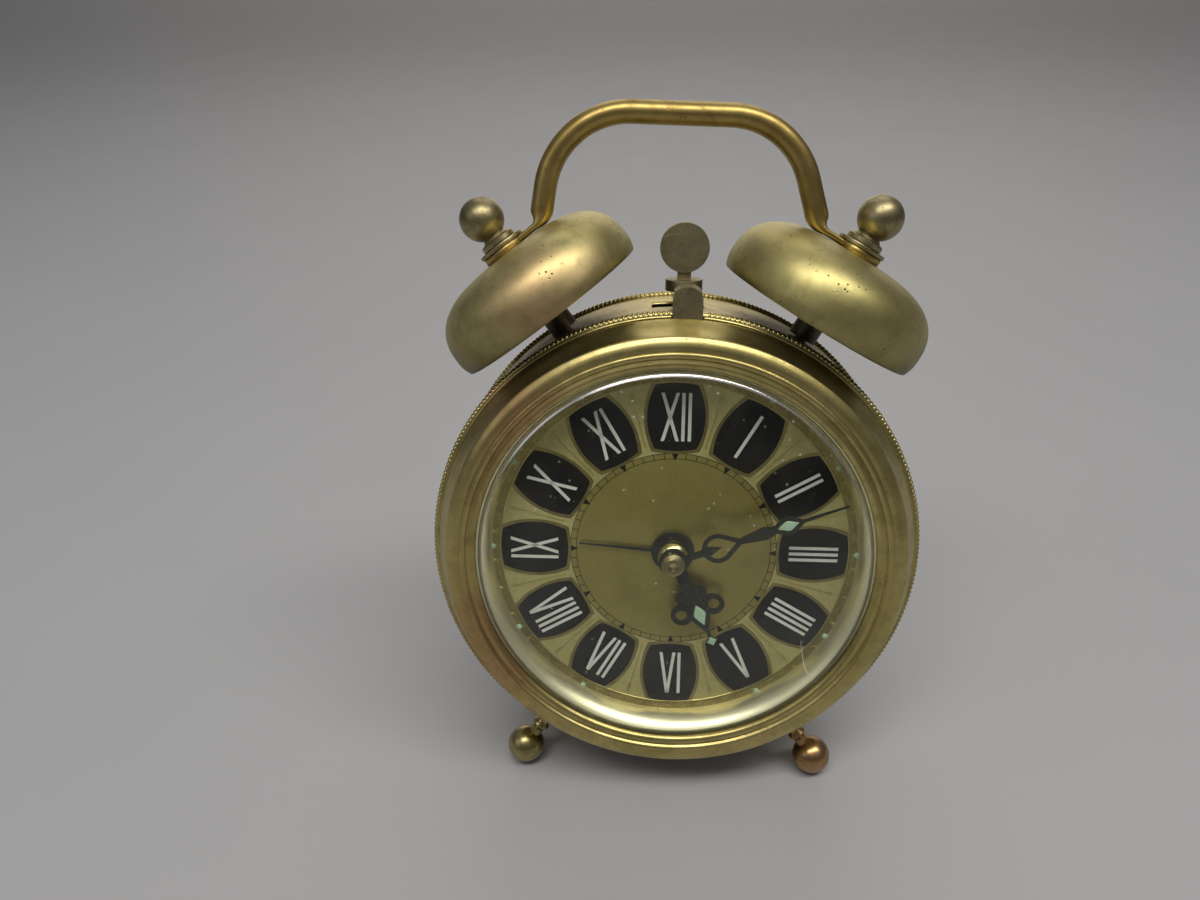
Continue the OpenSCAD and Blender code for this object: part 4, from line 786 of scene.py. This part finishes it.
def dial():
    """Printed and pressed layers on the dial sheet, each a little above the one below."""
    rings = (("dial_disc", 1.96, DISC_R, -0.01, 0.045, 0.04, DISC),
             ("dial_panel_ring", DISC_R - 0.1, PANEL_R, -0.01, 0.035, 0.04, PANEL),
             ("dial_outer_ring", PANEL_R - 0.1, DIAL_R, -0.01, 0.03, 0.02, RING_GOLD),
             ("dial_lines", PANEL_R - 0.25, PANEL_R - 0.05, 0.0, 0.09, 0.04, LINE_GOLD))
    made = [piece(name, *annulus(r0, r1, z0, z1, edge), "case", mat)
            for name, r0, r1, z0, z1, edge, mat in rings]
    outlines, plates, bars = [], [], []
    for i, word in enumerate(["XII", "I", "II", "III", "IIII", "V", "VI", "VII", "VIII", "IX", "X", "XI"]):
        at = turned(30 * i) @ Matrix.Translation((0, CARTOUCHE_R, 0))
        outlines.append((*slab(cartouche(0.42), 0.0, 0.075), at))
        plates.append((*slab(cartouche(0.0), 0.0, 0.11), at))
        flip = Matrix.Rotation(math.pi, 4, "Z") if 4 <= i <= 8 else Matrix.Identity(4)
        bars += [(*slab(bar, 0.08, 0.135), at @ flip) for bar in numeral(word)]
    made.append(piece("cartouche_outlines", *gather(outlines), "case", OUTLINE))
    made.append(piece("cartouches", *gather(plates), "case", BLACK))
    made.append(piece("numerals", *gather(bars), "case", WHITE, sharp=20))

    low, high = 14.4, DISC_R - 0.05
    tick = slab([(-0.055, low), (0.055, low), (0.055, high), (-0.055, high)], 0.0, 0.06)
    arrow = slab([(0.0, low - 0.3), (0.5, high), (-0.5, high)], 0.0, 0.065)
    ticks = [(*annulus(r, r + 0.09, 0.0, 0.06, edge=0.01), Matrix.Identity(4)) for r in (14.38, 15.24)]
    ticks += [(*(tick if i % 5 else arrow), turned(6 * i)) for i in range(60)]
    made.append(piece("minute_ticks", *gather(ticks), "case", BLACK, sharp=20))

    point = slab([(0.0, 26.5), (1.05, 28.25), (-1.05, 28.25)], 0.0, 0.16)
    relief = [(*point, turned(10 * i + 5)) for i in range(36)]
    scroll, rnd = curl(), random.Random(7)
    for i in range(12):
        for k in range(-2, 3):
            angle = 30 * i + k * 5.2 + rnd.uniform(-0.5, 0.5)
            mirror = Matrix.Scale(-1 if k % 2 else 1, 4, (1, 0, 0))
            relief.append((*scroll, turned(angle) @ Matrix.Translation((0, 26.25, 0)) @ mirror))
    made.append(piece("dial_relief", *gather(relief), "case", LINE_GOLD, sharp=40))

    drop = slab([(-0.34, 0.2), (0.0, -1.0), (0.34, 0.2), (0.0, 1.1)], 0.0, 0.1)
    stem = slab([(-0.07, -7.6), (0.07, -7.6), (0.07, -1.0), (-0.07, -1.0)], 0.0, 0.08)
    sprigs = []
    for i in range(12):
        at = turned(30 * i + 15) @ Matrix.Translation((0, 24.2, 0))
        sprigs += [(*drop, at), (*stem, at)]
    made.append(piece("dial_sprigs", *gather(sprigs), "case", LINE_GOLD, sharp=20))

    dome = [(0.42 * math.cos(math.radians(a)), 0.02 + 0.14 * math.sin(math.radians(a)))
            for a in (0, 25, 50, 75)]
    dot = lathe([(0, 0.02)] + dome + [(0, 0.16)], 20, closed=False)
    dots = [(*dot, turned(30 * i) @ Matrix.Translation((0, LUME_DOT_R, 0))) for i in range(1, 12) if i != 6]
    made.append(piece("lume_dots", *gather(dots), "case", LUME, sharp=60))
    return made


for o in dial():
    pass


# ------------------------------------------------------------ lume in the hands, scratch on the crystal
def leaf(at, half, tail, nose):
    """Outline of the window that the lume fills: a round body with a point at each end."""
    body = [p for p in arc(0.0, at, half, -18, 198, 24) if p[1] <= at + half * 0.55]
    right, left = [p for p in body if p[0] > 0], [p for p in body if p[0] <= 0]
    return [(0.0, at - tail), *right, (0.0, at + nose), *left]


def lume():
    """What fills the windows of the two hands."""
    top = HAND_T + 0.12
    minute = slab(leaf(17.3, 0.86, 1.35, 1.6), 0.06, top)
    hour = slab(leaf(10.3, 1.0, 1.6, 2.0), 0.06, top)
    tip = slab([(0, 14.35), (0.75, 15.1), (0, 15.85), (-0.75, 15.1)], HAND_T - 0.01, HAND_T + 0.1)
    still = Matrix.Identity(4)
    return (piece("minute_lume", *minute, "minute", LUME,
                  turned(MINUTE_ANGLE) @ Matrix.Translation((0, 0, MINUTE_Z))),
            piece("hour_lume", *gather([(*hour, still), (*tip, still)]), "hour", LUME,
                  turned(HOUR_ANGLE) @ Matrix.Translation((0, 0, HOUR_Z))))


for o in lume():
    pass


def scratch():
    """Hairline on the crystal, low on its right side."""
    line = smooth_line([(18.7, -10.8), (19.2, -13.6), (19.8, -15.9), (20.9, -17.7), (22.2, -18.6)], 6)
    verts, faces = [], []
    for i, (x, y) in enumerate(line):
        half = 0.045 * math.sin(math.pi * (i + 0.5) / len(line)) + 0.008
        for dx, lift in ((-half, 0.004), (0, 0.014), (half, 0.004)):
            z = CRYSTAL_TOP - DOME_R + math.sqrt(DOME_R ** 2 - (x + dx) ** 2 - y ** 2)
            verts.append((x + dx, y, z + lift))
        if i:
            faces += [[3 * i - 3, 3 * i - 2, 3 * i + 1, 3 * i], [3 * i - 2, 3 * i - 1, 3 * i + 2, 3 * i + 1],
                      [3 * i - 1, 3 * i - 3, 3 * i, 3 * i + 2]]
    faces += [[2, 1, 0], [len(verts) - 3, len(verts) - 2, len(verts) - 1]]
    return piece("crystal_scratch", verts, faces, "case", SCRATCH)


scratch()


# ------------------------------------------------------------ stop button's spring
def button_spring():
    """The stop button's return spring, a copy of the CAD spring that rides on the case."""
    obj = bpy.data.objects.new("stop_spring_coil", frame["nodes"]["stop_spring"].data.copy())
    bpy.context.scene.collection.objects.link(obj)
    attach(obj, "case")
    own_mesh(obj)
    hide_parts("stop_spring")


button_spring()

# ------------------------------------------------------------ small edges on the carried-over CAD pieces
for name, width in (("hammer", 0.14), ("stop_button", 0.28), ("bell_washers", 0.12),
                    ("bell_post_left", 0.1), ("bell_post_right", 0.1), ("back_cover", 0.08),
                    ("cover_screws", 0.12), ("time_key", 0.22), ("alarm_key", 0.22), ("set_knob", 0.15),
                    ("alarm_set_knob", 0.15), ("minute_hand", 0.05), ("hour_hand", 0.05), ("hour_bush", 0.12),
                    ("alarm_hand", 0.05), ("hand_nut", 0.1), ("regulator_lever", 0.08)):
    obj = frame["nodes"][name]
    weld = obj.modifiers.new("weld", "WELD")
    weld.merge_threshold = 0.000002
    bevel = obj.modifiers.new("edges", "BEVEL")
    bevel.width = width / 1000
    bevel.segments = 2
    bevel.limit_method = "ANGLE"
    bevel.angle_limit = math.radians(40)


# ------------------------------------------------------------ floor, lights, camera
def floor():
    """Plain pale sheet under the clock."""
    mesh = bpy.data.meshes.new("floor")
    size, n = 6.0, 8
    verts = [(-size / 2 + size * i / n, -size / 2 + size * j / n, 0.0)
             for j in range(n + 1) for i in range(n + 1)]
    faces = [[j * (n + 1) + i, j * (n + 1) + i + 1, (j + 1) * (n + 1) + i + 1, (j + 1) * (n + 1) + i]
             for j in range(n) for i in range(n)]
    mesh.from_pydata(verts, [], faces)
    t = Tree("floor_grey")
    colour = t.mix(t.noise(9.0, 3.0), (0.345, 0.345, 0.355), (0.375, 0.375, 0.385))
    rough = t.math("ADD", t.math("MULTIPLY", t.noise(40.0, 3.0), 0.12), 0.5)
    mesh.materials.append(t.finish(colour, rough, t.bump(t.noise(900.0, 3.0), 0.00005, 0.15)))
    obj = bpy.data.objects.new("floor", mesh)
    bpy.context.scene.collection.objects.link(obj)


def area(name, at, aim, size, power, colour):
    """Rectangular lamp that faces the given point."""
    light = bpy.data.lights.new(name, "AREA")
    light.shape = "RECTANGLE"
    light.size, light.size_y = size
    light.energy = power
    light.color = colour
    obj = bpy.data.objects.new(name, light)
    obj.location = at
    obj.rotation_euler = (Vector(aim) - Vector(at)).to_track_quat("-Z", "Y").to_euler()
    bpy.context.scene.collection.objects.link(obj)


floor()
area("key", (0.08, -0.26, 0.72), (0, 0, 0.05), (1.0, 0.2), 4.9, (1.0, 0.98, 0.93))
area("fill", (-0.8, -0.5, 0.5), (0, 0, 0.05), (0.5, 0.4), 0.45, (0.92, 0.95, 1.0))
area("back", (0.0, 0.55, 0.7), (0, 0, 0.06), (0.7, 0.4), 1.1, (1.0, 0.98, 0.95))


def sky():
    """Soft studio surround: dim at the horizon, lighter overhead and at the wall behind."""
    world = bpy.data.worlds.new("studio")
    world.use_nodes = True
    nt = world.node_tree
    coords = nt.nodes.new("ShaderNodeTexCoord")
    split = nt.nodes.new("ShaderNodeSeparateXYZ")
    nt.links.new(coords.outputs["Generated"], split.inputs[0])

    def fade(axis, start, dark, end, light):
        ramp = nt.nodes.new("ShaderNodeValToRGB")
        for stop, position, colour in zip(ramp.color_ramp.elements, (start, end), (dark, light)):
            stop.position, stop.color = position, (*colour, 1)
        nt.links.new(split.outputs[axis], ramp.inputs[0])
        return ramp

    height = fade("Z", 0.02, (0.07, 0.07, 0.074), 0.75, (0.24, 0.24, 0.25))
    wall = fade("Y", 0.78, (0, 0, 0), 0.98, (1.15, 1.06, 0.9))
    both = nt.nodes.new("ShaderNodeVectorMath")
    nt.links.new(height.outputs[0], both.inputs[0])
    nt.links.new(wall.outputs[0], both.inputs[1])
    nt.links.new(both.outputs[0], nt.nodes["Background"].inputs["Color"])
    bpy.context.scene.world = world


sky()


def camera():
    """Camera at the clock's own frame: round from the dial's front, and above it."""
    azimuth, elevation, distance = math.radians(3.62), math.radians(18.01), 134.3
    target = Vector((-10.87, 15.55, 0.0))
    back = Vector((math.sin(azimuth) * math.cos(elevation), math.sin(elevation),
                   math.cos(azimuth) * math.cos(elevation)))
    z = (CLOCK.to_3x3() @ back).normalized()
    cam = bpy.data.cameras.new("camera")
    cam.sensor_width = 36.0
    cam.lens = 27.85
    obj = bpy.data.objects.new("camera", cam)
    obj.matrix_world = frame_at(CLOCK @ (target + back * distance), z, UP.cross(z))
    cam.clip_start, cam.clip_end = 0.005, 20
    bpy.context.scene.collection.objects.link(obj)
    bpy.context.scene.camera = obj


camera()
bpy.context.scene.view_settings.view_transform = "Standard"
